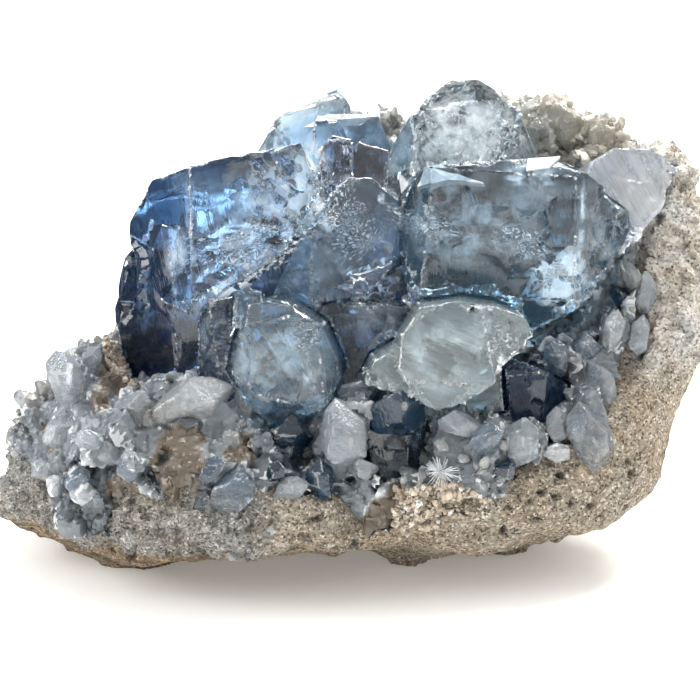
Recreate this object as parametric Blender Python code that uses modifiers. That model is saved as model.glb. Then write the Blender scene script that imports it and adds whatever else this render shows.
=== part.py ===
"""A celestite geode: blue crystals grown from the dish of a rough stone matrix.

The stone is set down on two small flat spots under it. Lengths below are millimetres, X runs to the
right, Y away from the front and Z up, and everything is turned into metres as it is made.
"""

import math
import random

import bmesh
import bpy
import numpy as np
from mathutils import Matrix, Vector

MM = 0.001

# The stone's overall size, which the outlines below keep to.
STONE_WIDTH = 121.0
STONE_HEIGHT = 82.0
CONTACT_GAP = 0.3  # left between two pieces that meet
TOP_FALL = 14.0  # degrees that the upper sides of a crystal drop towards the back
BACK_SHOULDER = 0.3  # share of a crystal's depth that its three back facets take
STONE_SEED = 11
FACET_SHARE = 0.52  # of the smooth stone's triangles, left as broken facets
CRUST_SEED = 23

# The stone, one row per bearing: degrees from +X towards +Y, then radius and height of its foot edge,
# low wall, belly and rim, the height of the dish half way in, and the radius and height of the
# crust's lower edge.
STONE_SECTIONS = (
    (0, 24, 42, 10, 57, 30, 62, 64, 42, 49, 46),
    (25, 26, 44, 13, 59, 42, 64, 75, 48, 53, 58),
    (50, 27, 42, 15, 53, 46, 57, 76, 52, 49, 60),
    (75, 27, 40, 14, 47, 40, 47, 70, 49, 43, 52),
    (105, 28, 40, 13, 46, 34, 45, 56, 44, 41, 40),
    (135, 34, 46, 11, 52, 27, 48, 47, 39, 44, 34),
    (165, 44, 57, 9, 62, 18, 47, 32, 32, 43, 24),
    (190, 47, 65, 8, 66, 15, 52, 30, 31, 56, 13),
    (213, 30, 54, 7, 60, 14, 52, 30, 30, 55, 12),
    (238, 18, 40, 7, 48, 13, 42, 26, 28, 44, 12),
    (265, 16, 30, 6, 38, 13, 36, 21, 27, 34, 13),
    (295, 17, 32, 7, 40, 14, 38, 20, 27, 36, 13),
    (325, 25, 40, 9, 50, 16, 49, 24, 28, 43, 15),
    (345, 25, 42, 9, 55, 23, 58, 44, 33, 48, 28),
)
DISH_CENTRE = (2, 4, 32)
RIM_WIDTH = 8.0
ARCH_FROM, ARCH_TO, ARCH_HEIGHT = -21, 0, 7.0
FOOT_DEPTH = 1.6  # how far the feet reach below the plane that cuts them flat

CRUST_THICKNESS = 2.4
SMALL_CRYSTALS = 110


def unit(azimuth, elevation):
    """The direction with this bearing from +X towards +Y and this rise, both in degrees."""
    a, e = math.radians(azimuth), math.radians(elevation)
    return Vector((math.cos(e) * math.cos(a), math.cos(e) * math.sin(a), math.sin(e)))


def block(outline, front, back, face=(270, 0), lean=1, facets=()):
    """One convex crystal: a front outline (x, z), its depth, the tilt of its face, and its facets.

    lean is how many degrees the sides spread towards the back. A facet is a point on it and the
    azimuth and elevation that it faces.
    """
    return dict(outline=outline, front=front, back=back, face=face, lean=lean, facets=facets)


# Each large crystal is one or more blocks that grew into one another.
CRYSTALS = {
    "pale_front_crystal": [
        block([(8, 45), (11, 49.5), (16.5, 50.3), (22.5, 49.5), (27.5, 47.5), (29.3, 44), (25.5, 40.5),
               (22.5, 37.5), (18.5, 33.8), (14, 32.3), (10.5, 34), (7.5, 39.5)],
              -33, -9, (262, 8), 5,
              [((22, -33, 43), 310, 14), ((12, -33, 46), 245, 34), ((14, -33, 37), 262, -24),
               ((19, -33, 48), 285, 48)]),
        block([(-1.8, 37), (4, 40.3), (6.5, 45.5), (8.2, 45), (12, 40), (12, 34), (5.5, 35.2)],
              -30, -12, (255, 10), 4, [((3, -30, 38), 235, 30)]),
        block([(9, 28), (9, 40), (24, 42), (25, 30)], -22, -3, (270, 20), 4),
    ],
    "front_centre_crystal": [
        block([(-17, 47), (-16, 49), (-13.5, 49.5), (-9, 48.5), (-4.5, 45.5), (-2.3, 40.5), (-1.5, 35.5),
               (-3, 32.5), (-10, 28.2), (-13, 28), (-17.5, 33.5), (-20, 37.5), (-18, 43)],
              -28, -6, (272, 6), 4,
              [((-9, -28, 46), 262, 40), ((-5, -28, 41), 318, 8), ((-16, -28, 42), 228, 4),
               ((-12, -28, 32), 262, -28)]),
        block([(-19, 44), (-18.6, 49.5), (-16.5, 50.8), (-14, 50.2), (-13, 44)], -24, -10, (262, 14), 1),
        block([(-16, 20), (-17, 40), (-4, 42), (-3, 22)], -19, -3, (270, 10), 4),
    ],
    "left_block_crystal": [
        block([(-38, 54), (-37.3, 60.5), (-32.5, 67.8), (-16.5, 71.5), (-8, 73.3), (-4.3, 66), (-5, 63.5),
               (-11, 54.5), (-25.5, 45.3), (-31, 46)],
              -19, 13, (276, 5), -1,
              [((-26, -19, 60), 222, 3), ((-35.5, -10, 63), 202, 30)]),
        block([(-39.5, 53), (-33, 60), (-12.5, 55), (-10, 47.5), (-17, 41.5), (-24.5, 33.5), (-26, 27),
               (-37, 26), (-39.5, 37), (-41, 45)],
              -16, 11, (262, -4), 0,
              [((-29, -16, 45), 228, -4), ((-35, -12, 48), 205, 12), ((-14, -16, 46), 288, -14)]),
        block([(-38, 24), (-39, 50), (-33, 62), (-14, 66), (-7, 52), (-5, 26)], -5, 16, (270, 10), 1),
    ],
    "dark_prism_crystal": [
        block([(-24.8, 45), (-23.3, 48.5), (-17, 48.8), (-15, 43), (-16, 38), (-18, 28), (-22, 28),
               (-25, 33)], -22, -5, (276, 10), 3, [((-24, -20, 40), 226, 2)]),
    ],
    "centre_deep_crystal": [
        block([(-5.5, 45.5), (1, 46.5), (10.5, 46.8), (12.5, 41.5), (11, 28), (-2, 26), (-4, 38),
               (-5, 42.5)], -15, 5, (268, 14), 3, [((2, -13, 45.8), 270, 60)]),
        block([(-1, 40), (1, 48.8), (9, 51.5), (11.5, 47), (11, 40)], -10, 5, (268, 24), 3),
    ],
    "right_block_crystal": [
        block([(9, 51.5), (8.5, 62.5), (10, 66.5), (12, 69), (19, 70), (28, 70.6), (36, 70.2), (41, 66.5),
               (45.6, 64), (46.5, 58.5), (44, 53), (40, 47), (30.5, 41), (22, 36), (13, 37), (10, 44)],
              -17, 20, (268, 2), 0,
              [((12.5, -17, 58), 214, 6), ((12.5, -17, 68), 272, 52), ((36.8, -17, 58), 312, 2),
               ((25, -17, 46.5), 268, -30), ((20, 0, 70.4), 95, 80)]),
    ],
    "middle_crystal": [
        block([(-13, 47), (-13, 50), (-8.5, 56), (-4.5, 64.5), (-1, 67), (3.5, 66.5), (9.5, 62),
               (9.3, 53), (7, 44), (4, 32), (-10, 32), (-12.5, 40)],
              -10, 15, (282, 12), 0,
              [((0, -10, 61), 268, 42), ((6, -9, 56), 322, 6), ((-7, -10, 54), 240, 10)]),
    ],
    "top_crystal": [
        block([(5.8, 60), (6, 67), (7, 70.5), (10, 75.5), (13.5, 79.5), (17, 82), (22, 81.6), (25, 79.6),
               (29, 76), (31.5, 70), (31.5, 58)],
              -1, 24, (272, 14), 0,
              [((10.5, -1, 70), 222, 14), ((26, -1, 74), 312, 24), ((18, -1, 78), 262, 44),
               ((18, 14, 81), 90, 55)]),
    ],
    "right_wedge_crystal": [
        block([(39.3, 60), (39.3, 66), (40.5, 68.5), (44, 70.6), (51, 70.4), (57.5, 67.8), (56, 64),
               (52, 60), (47, 53), (41, 53)], -6, 18, (280, 24), 2, [((52, -4, 67), 325, 14)]),
    ],
    "upper_dark_crystal": [
        block([(-5.5, 56), (-5.5, 68.5), (-3, 71.2), (0, 70.6), (1.5, 52), (-4, 50)],
              7, 22, (285, 14), 2),
        block([(-2, 54), (-1.5, 66), (2, 70.2), (6.5, 68.6), (9, 61.5), (8.5, 48), (0, 46)],
              9, 24, (262, 26), 2, [((6, 9, 66), 320, 30)]),
    ],
    "back_crystal": [
        block([(-17.5, 50), (-17.5, 65), (-16, 69.5), (-12, 73.5), (-4.5, 76), (-2, 77), (0, 74),
               (1, 50)], 29, 41, (264, 12), 3, [((-12, 29, 72), 232, 30), ((-4, 36, 76.4), 85, 50)]),
        block([(-7, 50), (-7, 70.5), (-6, 72.6), (5, 73.2), (7.2, 67.5), (6.8, 50)],
              25, 38, (276, 4), 3, [((0, 26, 72), 268, 66)]),
    ],
    "navy_crystal": [
        block([(20, 31.5), (21.5, 35.5), (25, 37.3), (27.5, 38.5), (31.5, 37), (35.5, 34), (36, 31),
               (35, 24), (30, 18), (23, 20)], -23, -4, (266, 8), 4,
              [((27, -23, 35), 262, 44), ((32, -23, 30), 318, 4)]),
    ],
    "lower_dark_crystal": [
        block([(2.5, 29.5), (4.5, 33), (6.5, 35.5), (9, 35.5), (11.3, 34), (12.3, 29), (11.5, 20),
               (5, 18), (3, 24)], -29, -12, (276, 10), 4,
              [((7, -29, 33), 265, 40), ((10, -29, 29), 322, 0)]),
    ],
}

# Smaller crystals of the crust that are big enough to have a form of their own.
CRUST_BLOCKS = (
    block([(-6, 26), (-4.5, 29), (-2, 33), (2, 34), (3.5, 31), (3, 27), (0.5, 22), (-4.5, 20)],
          -31, -14, (268, 14), 5, [((-2, -31, 30), 250, 36)]),
    block([(-14.5, 24.5), (-13, 26.5), (-7.5, 30), (-3, 32), (-3, 28), (-6.5, 22), (-10.5, 18), (-14, 20)],
          -29, -14, (284, 18), 5, [((-9, -29, 25), 250, -10)]),
    block([(-7.5, 21), (-5, 23.5), (-2, 22), (-1.5, 18.5), (-3.5, 16.5), (-6.5, 16.5)], -33, -18, (282, 8), 4),
    block([(-22.5, 20.5), (-19.5, 24), (-17, 24), (-14.2, 20.5), (-15.5, 17), (-18, 16), (-21, 17)],
          -34, -18, (262, 10), 4),
    block([(-14.5, 20.5), (-12.5, 22), (-8, 21), (-6.8, 18.5), (-10.5, 16.5), (-14, 17)], -34, -18, (255, 14), 4),
    block([(34.5, 24.5), (35, 29.5), (37, 34), (40, 34.5), (42, 28), (42.3, 23), (39, 21), (36, 21.5)],
          -26, -8, (286, 6), 4, [((37, -26, 31), 250, 24)]),
    block([(26.3, 24), (27, 28), (29, 30.3), (31.3, 28), (31.8, 25), (28.5, 21)], -30, -16, (268, 8), 4),
    block([(29, 20), (30, 22.8), (33.5, 23.3), (36, 21.5), (35, 18.5), (31, 18)], -32, -18, (280, 20), 6),
    block([(-35, 27), (-34.5, 33), (-31, 35.3), (-27.5, 35.5), (-27, 27)], -25, -8, (262, 30), 6),
    block([(-29.5, 27), (-29, 36), (-25, 36.4), (-22.5, 33.5), (-23, 25)], -27, -10, (278, 26), 6),
    block([(-24, 25), (-24, 33.8), (-20, 33.2), (-17.5, 31), (-18, 25)], -29, -12, (258, 22), 6),
    block([(-40.5, 27), (-39.5, 31.8), (-37.5, 33), (-34, 32), (-33.5, 25), (-38, 24)], -22, -8, (255, 26), 6),
    block([(-51, 29), (-48, 36.5), (-45, 38.5), (-41.5, 39), (-39.5, 35), (-40, 28), (-47, 24)],
          -17, 4, (258, 24), 5, [((-46, -15, 35), 215, 30)]),
    block([(-57, 22), (-54, 29), (-50, 30), (-47, 24), (-50, 17)], -18, -2, (240, 26), 5),
    block([(41, 40), (42.5, 44.5), (45.5, 43.3), (47, 39), (46, 33), (42.5, 33)], -14, 4, (270, 10), 5),
    block([(38.6, 31), (39.5, 37.6), (42, 39.3), (44.5, 36.5), (45, 30), (41.5, 27)], -18, 0, (268, 12), 5),
    block([(13, 27), (14, 30.5), (18, 33), (21, 29), (20.5, 20), (14.5, 20)], -31, -12, (255, 22), 5),
    block([(19.5, 28), (22, 32), (25.3, 29.5), (25.8, 24), (21, 19)], -31, -12, (290, 20), 5),
    block([(12.5, 21), (15, 24.3), (19, 23.4), (19.8, 19.5), (16, 18)], -33, -18, (262, 26), 5),
    block([(19.5, 20.5), (22, 23.3), (25.3, 22), (25.5, 19.5), (21, 18)], -33, -18, (284, 22), 5),
    block([(35.5, 70), (36.5, 74.6), (38.6, 75.4), (41, 71), (40, 60), (36, 60)], 19, 34, (262, 18), 3),
    block([(31.5, 68), (33, 75.2), (35.2, 76), (36.5, 71), (36, 60), (31.5, 60)], 17, 30, (282, 14), 3),
    block([(41, 67), (42.6, 72.8), (46.5, 73), (48.5, 68), (48, 58), (41, 58)], 16, 32, (268, 24), 3),
)

# Material name: colour, roughness, transmission.
FINISHES = {
    "grey_tan_stone": ((0.36, 0.32, 0.27), 0.9, 0.0),
    "clear_blue_crystal": ((0.42, 0.55, 0.66), 0.08, 0.8),
    "deep_blue_crystal": ((0.08, 0.13, 0.22), 0.1, 0.6),
    "pale_milky_crystal": ((0.62, 0.69, 0.71), 0.18, 0.6),
    "grey_druse": ((0.45, 0.51, 0.55), 0.25, 0.4),
}
DEEP_CRYSTALS = {"dark_prism_crystal", "centre_deep_crystal", "navy_crystal", "lower_dark_crystal",
                 "upper_dark_crystal"}


def clear_scene():
    for obj in list(bpy.data.objects):
        bpy.data.objects.remove(obj)


def new_collection(name):
    collection = bpy.data.collections.new(name)
    bpy.context.scene.collection.children.link(collection)
    return collection


def finish_material(name):
    """The Principled material of this name, made the first time it is asked for."""
    if name in bpy.data.materials:
        return bpy.data.materials[name]
    colour, roughness, transmission = FINISHES[name]
    material = bpy.data.materials.new(name)
    material.use_nodes = True
    shader = material.node_tree.nodes["Principled BSDF"]
    shader.inputs["Base Color"].default_value = (*colour, 1)
    shader.inputs["Roughness"].default_value = roughness
    shader.inputs["Transmission Weight"].default_value = transmission
    shader.inputs["IOR"].default_value = 1.62
    material.diffuse_color = (*colour, 1)
    return material


def mesh_object(name, bm, collection):
    """An object at the origin that holds this bmesh, which is freed."""
    mesh = bpy.data.meshes.new(name)
    bm.to_mesh(mesh)
    bm.free()
    obj = bpy.data.objects.new(name, mesh)
    collection.objects.link(obj)
    return obj


def apply_modifiers(obj):
    graph = bpy.context.evaluated_depsgraph_get()
    mesh = bpy.data.meshes.new_from_object(obj.evaluated_get(graph))
    obj.modifiers.clear()
    obj.data = mesh


def combine(obj, operation, tools, self_crossing=False):
    """Joins the tools to the object, or cuts it with them, and removes them.

    self_crossing is for an object whose own surface passes through itself somewhere.
    """
    for tool in tools:
        modifier = obj.modifiers.new(tool.name, "BOOLEAN")
        modifier.solver = "EXACT"
        modifier.operation = operation
        modifier.use_self = self_crossing
        modifier.object = tool
    apply_modifiers(obj)
    for tool in tools:
        bpy.data.objects.remove(tool)


def keep_largest_body(obj):
    """Drops every loose chip, and every bubble, that a cut has left beside or inside the main body."""
    bm = bmesh.new()
    bm.from_mesh(obj.data)
    bmesh.ops.remove_doubles(bm, verts=bm.verts, dist=0.000002)
    unseen = set(bm.faces)
    bodies = []
    while unseen:
        body, frontier = [], [unseen.pop()]
        while frontier:
            face = frontier.pop()
            body.append(face)
            touching = {other for edge in face.edges for other in edge.link_faces} & unseen
            unseen -= touching
            frontier.extend(touching)
        bodies.append(body)
    bodies.sort(key=len)
    bmesh.ops.delete(bm, geom=[face for body in bodies[:-1] for face in body], context="FACES")
    bm.to_mesh(obj.data)
    bm.free()


def block_planes(shape, seed):
    """The planes, each a point and an outward direction, that bound one block, in millimetres."""
    rng = random.Random(seed)
    outline, front, back = shape["outline"], shape["front"], shape["back"]
    middle = Vector((sum(x for x, z in outline) / len(outline), 0, sum(z for x, z in outline) / len(outline)))
    planes = []
    for (x0, z0), (x1, z1) in zip(outline, outline[1:] + outline[:1]):
        side = Vector((z1 - z0, 0, x0 - x1)).normalized()
        corner = Vector((x0, front, z0))
        if side.dot(corner - middle) < 0:
            side = -side
        lean = math.radians(shape["lean"] - TOP_FALL * max(side.z, 0) + rng.uniform(-2.5, 2.5))
        planes.append((corner, side * math.cos(lean) + Vector((0, -1, 0)) * math.sin(lean)))
    planes.append((Vector((middle.x, front, middle.z)), unit(*shape["face"])))
    planes.append((Vector((middle.x, back, middle.z)), unit(90 + rng.uniform(-12, 12), rng.uniform(-6, 14))))
    half = (max(x for x, z in outline) - min(x for x, z in outline)) / 2
    top = max(z for x, z in outline)
    shoulder = back - (back - front) * BACK_SHOULDER
    planes.append((Vector((middle.x, shoulder, top)), unit(90, rng.uniform(32, 48))))
    for side in (-1, 1):
        corner = Vector((middle.x + side * half, shoulder, middle.z))
        planes.append((corner, unit(90 - side * rng.uniform(34, 52), rng.uniform(-4, 16))))
    planes.extend((Vector(point), unit(azimuth, elevation)) for point, azimuth, elevation in shape["facets"])
    return planes


def block_mesh(shape, seed, growth=0.0):
    """A cube cut down to the block by one plane after another, each moved out by growth."""
    planes = block_planes(shape, seed)
    xs, zs = zip(*shape["outline"])
    middle = Vector(((min(xs) + max(xs)) / 2, (shape["front"] + shape["back"]) / 2, (min(zs) + max(zs)) / 2))
    bm = bmesh.new()
    bmesh.ops.create_cube(bm, size=STONE_WIDTH * MM, matrix=Matrix.Translation(middle * MM))
    for point, outward in planes:
        cut = bmesh.ops.bisect_plane(
            bm, geom=bm.verts[:] + bm.edges[:] + bm.faces[:], dist=0.000001,
            plane_co=(point + outward * growth) * MM, plane_no=outward, clear_outer=True)
        rim = [item for item in cut["geom_cut"] if isinstance(item, bmesh.types.BMEdge)]
        if rim:
            bmesh.ops.edgeloop_fill(bm, edges=rim)
    bmesh.ops.recalc_face_normals(bm, faces=bm.faces)
    return bm


def crystal_object(name, collection, growth=0.0):
    """The blocks of one crystal, joined in one solid."""
    first, *others = [mesh_object(f"{name}_{i}", block_mesh(shape, f"{name}{i}", growth), collection)
                      for i, shape in enumerate(CRYSTALS[name])]
    if others:
        combine(first, "UNION", others)
    return first


def socket(name, collection):
    """A cutter that leaves the contact gap round this crystal."""
    return crystal_object(name, collection, CONTACT_GAP)


def stone_cage():
    """Rings of points from the middle of the base, up the wall, over the rim and down into the dish."""
    rings = []
    for azimuth, foot, low, low_z, belly, belly_z, rim, rim_z, dish_z, *_ in STONE_SECTIONS:
        a = math.radians(azimuth)
        dish = Vector(DISH_CENTRE)
        arch = ARCH_FROM < foot * math.cos(a) < ARCH_TO and math.sin(a) < 0
        foot_z = ARCH_HEIGHT if arch else -FOOT_DEPTH
        profile = ((foot * 0.5, foot_z), (foot, foot_z), (low, low_z), (belly, belly_z),
                   (rim, rim_z - 4), (rim - RIM_WIDTH * 0.45, rim_z), (rim - RIM_WIDTH, rim_z - 3))
        column = [Vector((r * math.cos(a), r * math.sin(a), z)) for r, z in profile]
        column.append(Vector(((rim * 0.52) * math.cos(a), (rim * 0.52) * math.sin(a), dish_z)))
        column.append(dish + Vector((10 * math.cos(a), 10 * math.sin(a), (dish_z - dish.z) * 0.25)))
        rings.append(column)
    return rings


def stone_object(name, collection):
    """The cage as a closed mesh, made smooth by subdivision, roughened, and cut flat under its feet."""
    rings = stone_cage()
    bm = bmesh.new()
    columns = [[bm.verts.new(point * MM) for point in column] for column in rings]
    base = bm.verts.new(Vector((0, 4, -FOOT_DEPTH)) * MM)
    pole = bm.verts.new(Vector(DISH_CENTRE) * MM)
    for here, there in zip(columns, columns[1:] + columns[:1]):
        bm.faces.new((base, here[0], there[0]))
        bm.faces.new((pole, there[-1], here[-1]))
        for i in range(len(here) - 1):
            bm.faces.new((here[i], here[i + 1], there[i + 1], there[i]))
    bmesh.ops.recalc_face_normals(bm, faces=bm.faces)
    obj = mesh_object(name, bm, collection)
    smooth = obj.modifiers.new("smooth", "SUBSURF")
    smooth.levels = smooth.render_levels = 2
    apply_modifiers(obj)
    roughen(obj)
    facets = obj.modifiers.new("facets", "DECIMATE")
    facets.ratio = FACET_SHARE
    apply_modifiers(obj)
    bm = bmesh.new()
    bm.from_mesh(obj.data)
    cut = bmesh.ops.bisect_plane(bm, geom=bm.verts[:] + bm.edges[:] + bm.faces[:],
                                 plane_co=(0, 0, 0), plane_no=(0, 0, -1), clear_outer=True)
    rim = [item for item in cut["geom_cut"] if isinstance(item, bmesh.types.BMEdge)]
    bmesh.ops.holes_fill(bm, edges=rim)
    bmesh.ops.triangulate(bm, faces=bm.faces)
    bmesh.ops.recalc_face_normals(bm, faces=bm.faces)
    bm.to_mesh(obj.data)
    bm.free()
    return obj


def roughen(obj):
    """Moves each point along its normal by a sum of seeded waves, which leaves lumps and hollows."""
    rng = np.random.default_rng(STONE_SEED)
    count = len(obj.data.vertices)
    points, normals = np.empty(count * 3), np.empty(count * 3)
    obj.data.vertices.foreach_get("co", points)
    obj.data.vertices.foreach_get("normal", normals)
    points, normals = points.reshape(-1, 3), normals.reshape(-1, 3)
    height = np.zeros(count)
    for wavelength, depth in ((40, 1.2), (25, 0.9), (16, 0.8), (10.5, 0.6), (7, 0.45)):
        directions = rng.normal(size=(6, 3))
        directions /= np.linalg.norm(directions, axis=1, keepdims=True)
        phases = rng.uniform(0, 2 * math.pi, 6)
        waves = np.cos(points @ directions.T * (2 * math.pi / (wavelength * MM)) + phases)
        height += depth * MM * waves.sum(axis=1) / math.sqrt(6)
    points += normals * height[:, None]
    obj.data.vertices.foreach_set("co", points.ravel())
    obj.data.update()


def crust_plug(name, collection):
    """A closed column whose foot is inside the stone and whose wall is where the crust ends."""
    bm = bmesh.new()
    low, high = [], []
    for azimuth, *_, radius, height in STONE_SECTIONS:
        a = math.radians(azimuth)
        for ring, z in ((low, height), (high, STONE_HEIGHT * 1.4)):
            ring.append(bm.verts.new(Vector((radius * math.cos(a), radius * math.sin(a), z)) * MM))
    floor = bm.verts.new(Vector(DISH_CENTRE) * MM * 0.5)
    for i in range(len(low)):
        bm.faces.new((floor, low[i], low[i - 1]))
        bm.faces.new((low[i - 1], low[i], high[i], high[i - 1]))
    bm.faces.new(high)
    bmesh.ops.recalc_face_normals(bm, faces=bm.faces)
    return mesh_object(name, bm, collection)


def in_plug(point):
    """True where a point of the stone's surface lies within the crust's edge and above its foot."""
    x, y, z = point / MM
    bearings = [row[0] for row in STONE_SECTIONS] + [360]
    azimuth = math.degrees(math.atan2(y, x)) % 360
    radius = np.interp(azimuth, bearings, [row[-2] for row in STONE_SECTIONS] + [STONE_SECTIONS[0][-2]])
    height = np.interp(azimuth, bearings, [row[-1] for row in STONE_SECTIONS] + [STONE_SECTIONS[0][-1]])
    return math.hypot(x, y) < radius - 1.5 and z > height + 1


def small_crystals(stone, collection):
    """Short faceted prisms that stand on the dish at seeded places, each leaning its own way."""
    rng = random.Random(CRUST_SEED)
    bm = bmesh.new()
    bm.from_mesh(stone.data)
    sites = [(face.calc_center_median(), face.normal.copy()) for face in bm.faces
             if face.normal.dot(unit(270, 50)) > 0 and in_plug(face.calc_center_median())]
    bm.free()
    crystals = []
    for i, (place, normal) in enumerate(rng.sample(sites, SMALL_CRYSTALS)):
        radius = rng.uniform(1.5, 3.2)
        length = radius * rng.uniform(2.2, 3.2)
        tilt = normal + unit(270, 60) * 0.7 + Vector([rng.uniform(-0.6, 0.6) for _ in range(3)])
        turn = tilt.to_track_quat("Z", "Y").to_matrix().to_4x4()
        spin = Matrix.Rotation(rng.uniform(0, math.tau), 4, "Z")
        lift = Matrix.Translation((0, 0, length * 0.32 * MM))
        bm = bmesh.new()
        bmesh.ops.create_cone(
            bm, cap_ends=True, segments=rng.choice((4, 5, 6)), radius1=radius * MM,
            radius2=radius * rng.uniform(0.35, 0.8) * MM, depth=length * MM,
            matrix=Matrix.Translation(place) @ turn @ spin @ lift)
        crystals.append(mesh_object(f"small_{i}", bm, collection))
    return crystals


def grown(stone, name, collection, distance):
    """A copy of the stone with every point moved out along its normal."""
    obj = bpy.data.objects.new(name, stone.data.copy())
    collection.objects.link(obj)
    for vertex, normal in zip(obj.data.vertices, [v.vector.copy() for v in obj.data.vertex_normals]):
        vertex.co += normal * distance * MM
    return obj


def recentre(objects):
    """Moves the pieces together so that the middle of their base is at the origin."""
    corners = np.array([vertex.co for obj in objects for vertex in obj.data.vertices])
    low, high = corners.min(axis=0), corners.max(axis=0)
    shift = Matrix.Translation((-(low[0] + high[0]) / 2, -(low[1] + high[1]) / 2, 0))
    print("moved by", tuple(round(value / MM, 2) for value in shift.translation), "mm")
    for obj in objects:
        obj.data.transform(shift)


def main():
    clear_scene()
    parts = new_collection("celestite_geode")
    cutters = new_collection("cutters")

    stone = stone_object("matrix", parts)
    skin = grown(stone, "stone_skin", cutters, CONTACT_GAP)
    crust = grown(stone, "drusy_crust", parts, CRUST_THICKNESS)
    combine(crust, "INTERSECT", [crust_plug("crust_plug", cutters)], self_crossing=True)
    blocks = [mesh_object(f"crust_block_{i}", block_mesh(shape, f"crust{i}"), cutters)
              for i, shape in enumerate(CRUST_BLOCKS)]
    combine(crust, "UNION", small_crystals(stone, cutters) + blocks)
    combine(crust, "DIFFERENCE", [skin])

    crystals = []
    for name in CRYSTALS:
        crystal = crystal_object(name, parts)
        if crystals:
            combine(crystal, "DIFFERENCE", [socket(other.name, cutters) for other in crystals])
            keep_largest_body(crystal)
        crystal.name = crystal.data.name = name
        crystals.append(crystal)
    for host in (stone, crust):
        combine(host, "DIFFERENCE", [socket(name, cutters) for name in CRYSTALS])
        keep_largest_body(host)

    pieces = [stone, crust, *crystals]
    recentre(pieces)
    for piece in pieces:
        piece.data.materials.clear()
        if piece is stone:
            finish = "grey_tan_stone"
        elif piece is crust:
            finish = "grey_druse"
        elif piece.name == "pale_front_crystal":
            finish = "pale_milky_crystal"
        else:
            finish = "deep_blue_crystal" if piece.name in DEEP_CRYSTALS else "clear_blue_crystal"
        piece.data.materials.append(finish_material(finish))


main()
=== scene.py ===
# %% [markdown]
# # A celestite geode fragment
#
# The specimen is a wedge of rough tan stone. A tilted hollow in it is lined with a crust of small grey-blue
# crystals, and a group of large clear blue crystals grows out of that crust. The measured solids of every
# large crystal, of the crust and of the stone are already made. This lesson puts the looks on them: worn and
# chipped crystal edges, clear glassy bodies with white veils inside, a bed of thousands of small grains, and
# gritty rock.
#
# The frame comes first, because every piece below is placed by it.

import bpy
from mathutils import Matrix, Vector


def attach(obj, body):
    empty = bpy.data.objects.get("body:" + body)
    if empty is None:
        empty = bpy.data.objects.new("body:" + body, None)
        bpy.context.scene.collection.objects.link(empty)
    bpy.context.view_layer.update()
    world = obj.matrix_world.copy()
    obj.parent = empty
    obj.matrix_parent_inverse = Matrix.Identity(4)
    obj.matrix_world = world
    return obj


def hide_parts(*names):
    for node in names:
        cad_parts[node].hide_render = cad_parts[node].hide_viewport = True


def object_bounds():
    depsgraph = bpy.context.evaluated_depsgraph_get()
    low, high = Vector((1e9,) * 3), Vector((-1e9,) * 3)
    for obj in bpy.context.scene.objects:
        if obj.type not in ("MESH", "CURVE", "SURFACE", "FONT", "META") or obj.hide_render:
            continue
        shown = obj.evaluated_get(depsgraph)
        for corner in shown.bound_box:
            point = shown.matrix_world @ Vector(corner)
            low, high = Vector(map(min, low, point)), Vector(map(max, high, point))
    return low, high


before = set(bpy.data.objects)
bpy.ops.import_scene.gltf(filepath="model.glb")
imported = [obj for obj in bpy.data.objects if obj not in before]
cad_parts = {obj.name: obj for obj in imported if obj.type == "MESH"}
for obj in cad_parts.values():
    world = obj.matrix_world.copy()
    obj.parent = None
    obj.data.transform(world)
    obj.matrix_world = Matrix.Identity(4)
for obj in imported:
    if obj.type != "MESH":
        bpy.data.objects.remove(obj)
CAD_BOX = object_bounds()
print("CAD box in mm", [[round(1000 * value, 1) for value in corner] for corner in CAD_BOX])

# %% Tools of the lesson
import math

import bmesh
import bpy
import numpy as np
from mathutils import Vector
from mathutils.bvhtree import BVHTree

MM = 0.001
print("solids in the frame:", len(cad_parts))

# %% [markdown]
# ## Noise as whole arrays
#
# Rock, broken edges and growth faces are irregular at several sizes at once. Three functions of position give
# all of it. Soft noise blends random numbers that sit on a cubic lattice. Cell noise measures how far a point
# is from seeds scattered one to a cell, which gives pebbles and pits. Facet noise gives each cell a flat,
# tilted face, as broken crystal has. All take a whole numpy array of points, and a seed, so that every run
# gives the same stone.

# %% Soft noise and cell noise
def lattice_value(cell, seed):
    """One number from 0 to 1 for each integer cell: its three indices and the seed, mixed by a hash."""
    x, y, z = (cell[..., axis].astype(np.int64) for axis in range(3))
    mixed = (x * 374761393 + y * 668265263 + z * 1442695041 + seed * 974634777) & 0xFFFFFFFF
    mixed = ((mixed ^ (mixed >> 13)) * 1274126177) & 0xFFFFFFFF
    mixed = ((mixed ^ (mixed >> 16)) * 461845907) & 0xFFFFFFFF
    return ((mixed ^ (mixed >> 13)) & 0xFFFFFF) / float(0xFFFFFF)


def soft_noise(points, size, seed):
    """Lattice numbers of that spacing, blended between the eight corners by 3t^2 - 2t^3 along each axis."""
    scaled = points / size
    base = np.floor(scaled)
    part = scaled - base
    part = part * part * (3 - 2 * part)
    total = np.zeros(points.shape[:-1])
    for corner in np.ndindex(2, 2, 2):
        corner = np.array(corner)
        weight = np.prod(np.where(corner, part, 1 - part), axis=-1)
        total += weight * lattice_value(base + corner, seed)
    return total


def seeds_around(points, size, seed):
    """For the 27 cells about each point: the cell, the way from its seed, and the distance to that seed."""
    scaled = points / size
    base = np.floor(scaled)
    for step in np.ndindex(3, 3, 3):
        cell = base + np.array(step) - 1
        away = scaled - (cell + np.stack([lattice_value(cell, seed + axis) for axis in range(3)], axis=-1))
        yield cell, away, np.linalg.norm(away, axis=-1)


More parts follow.
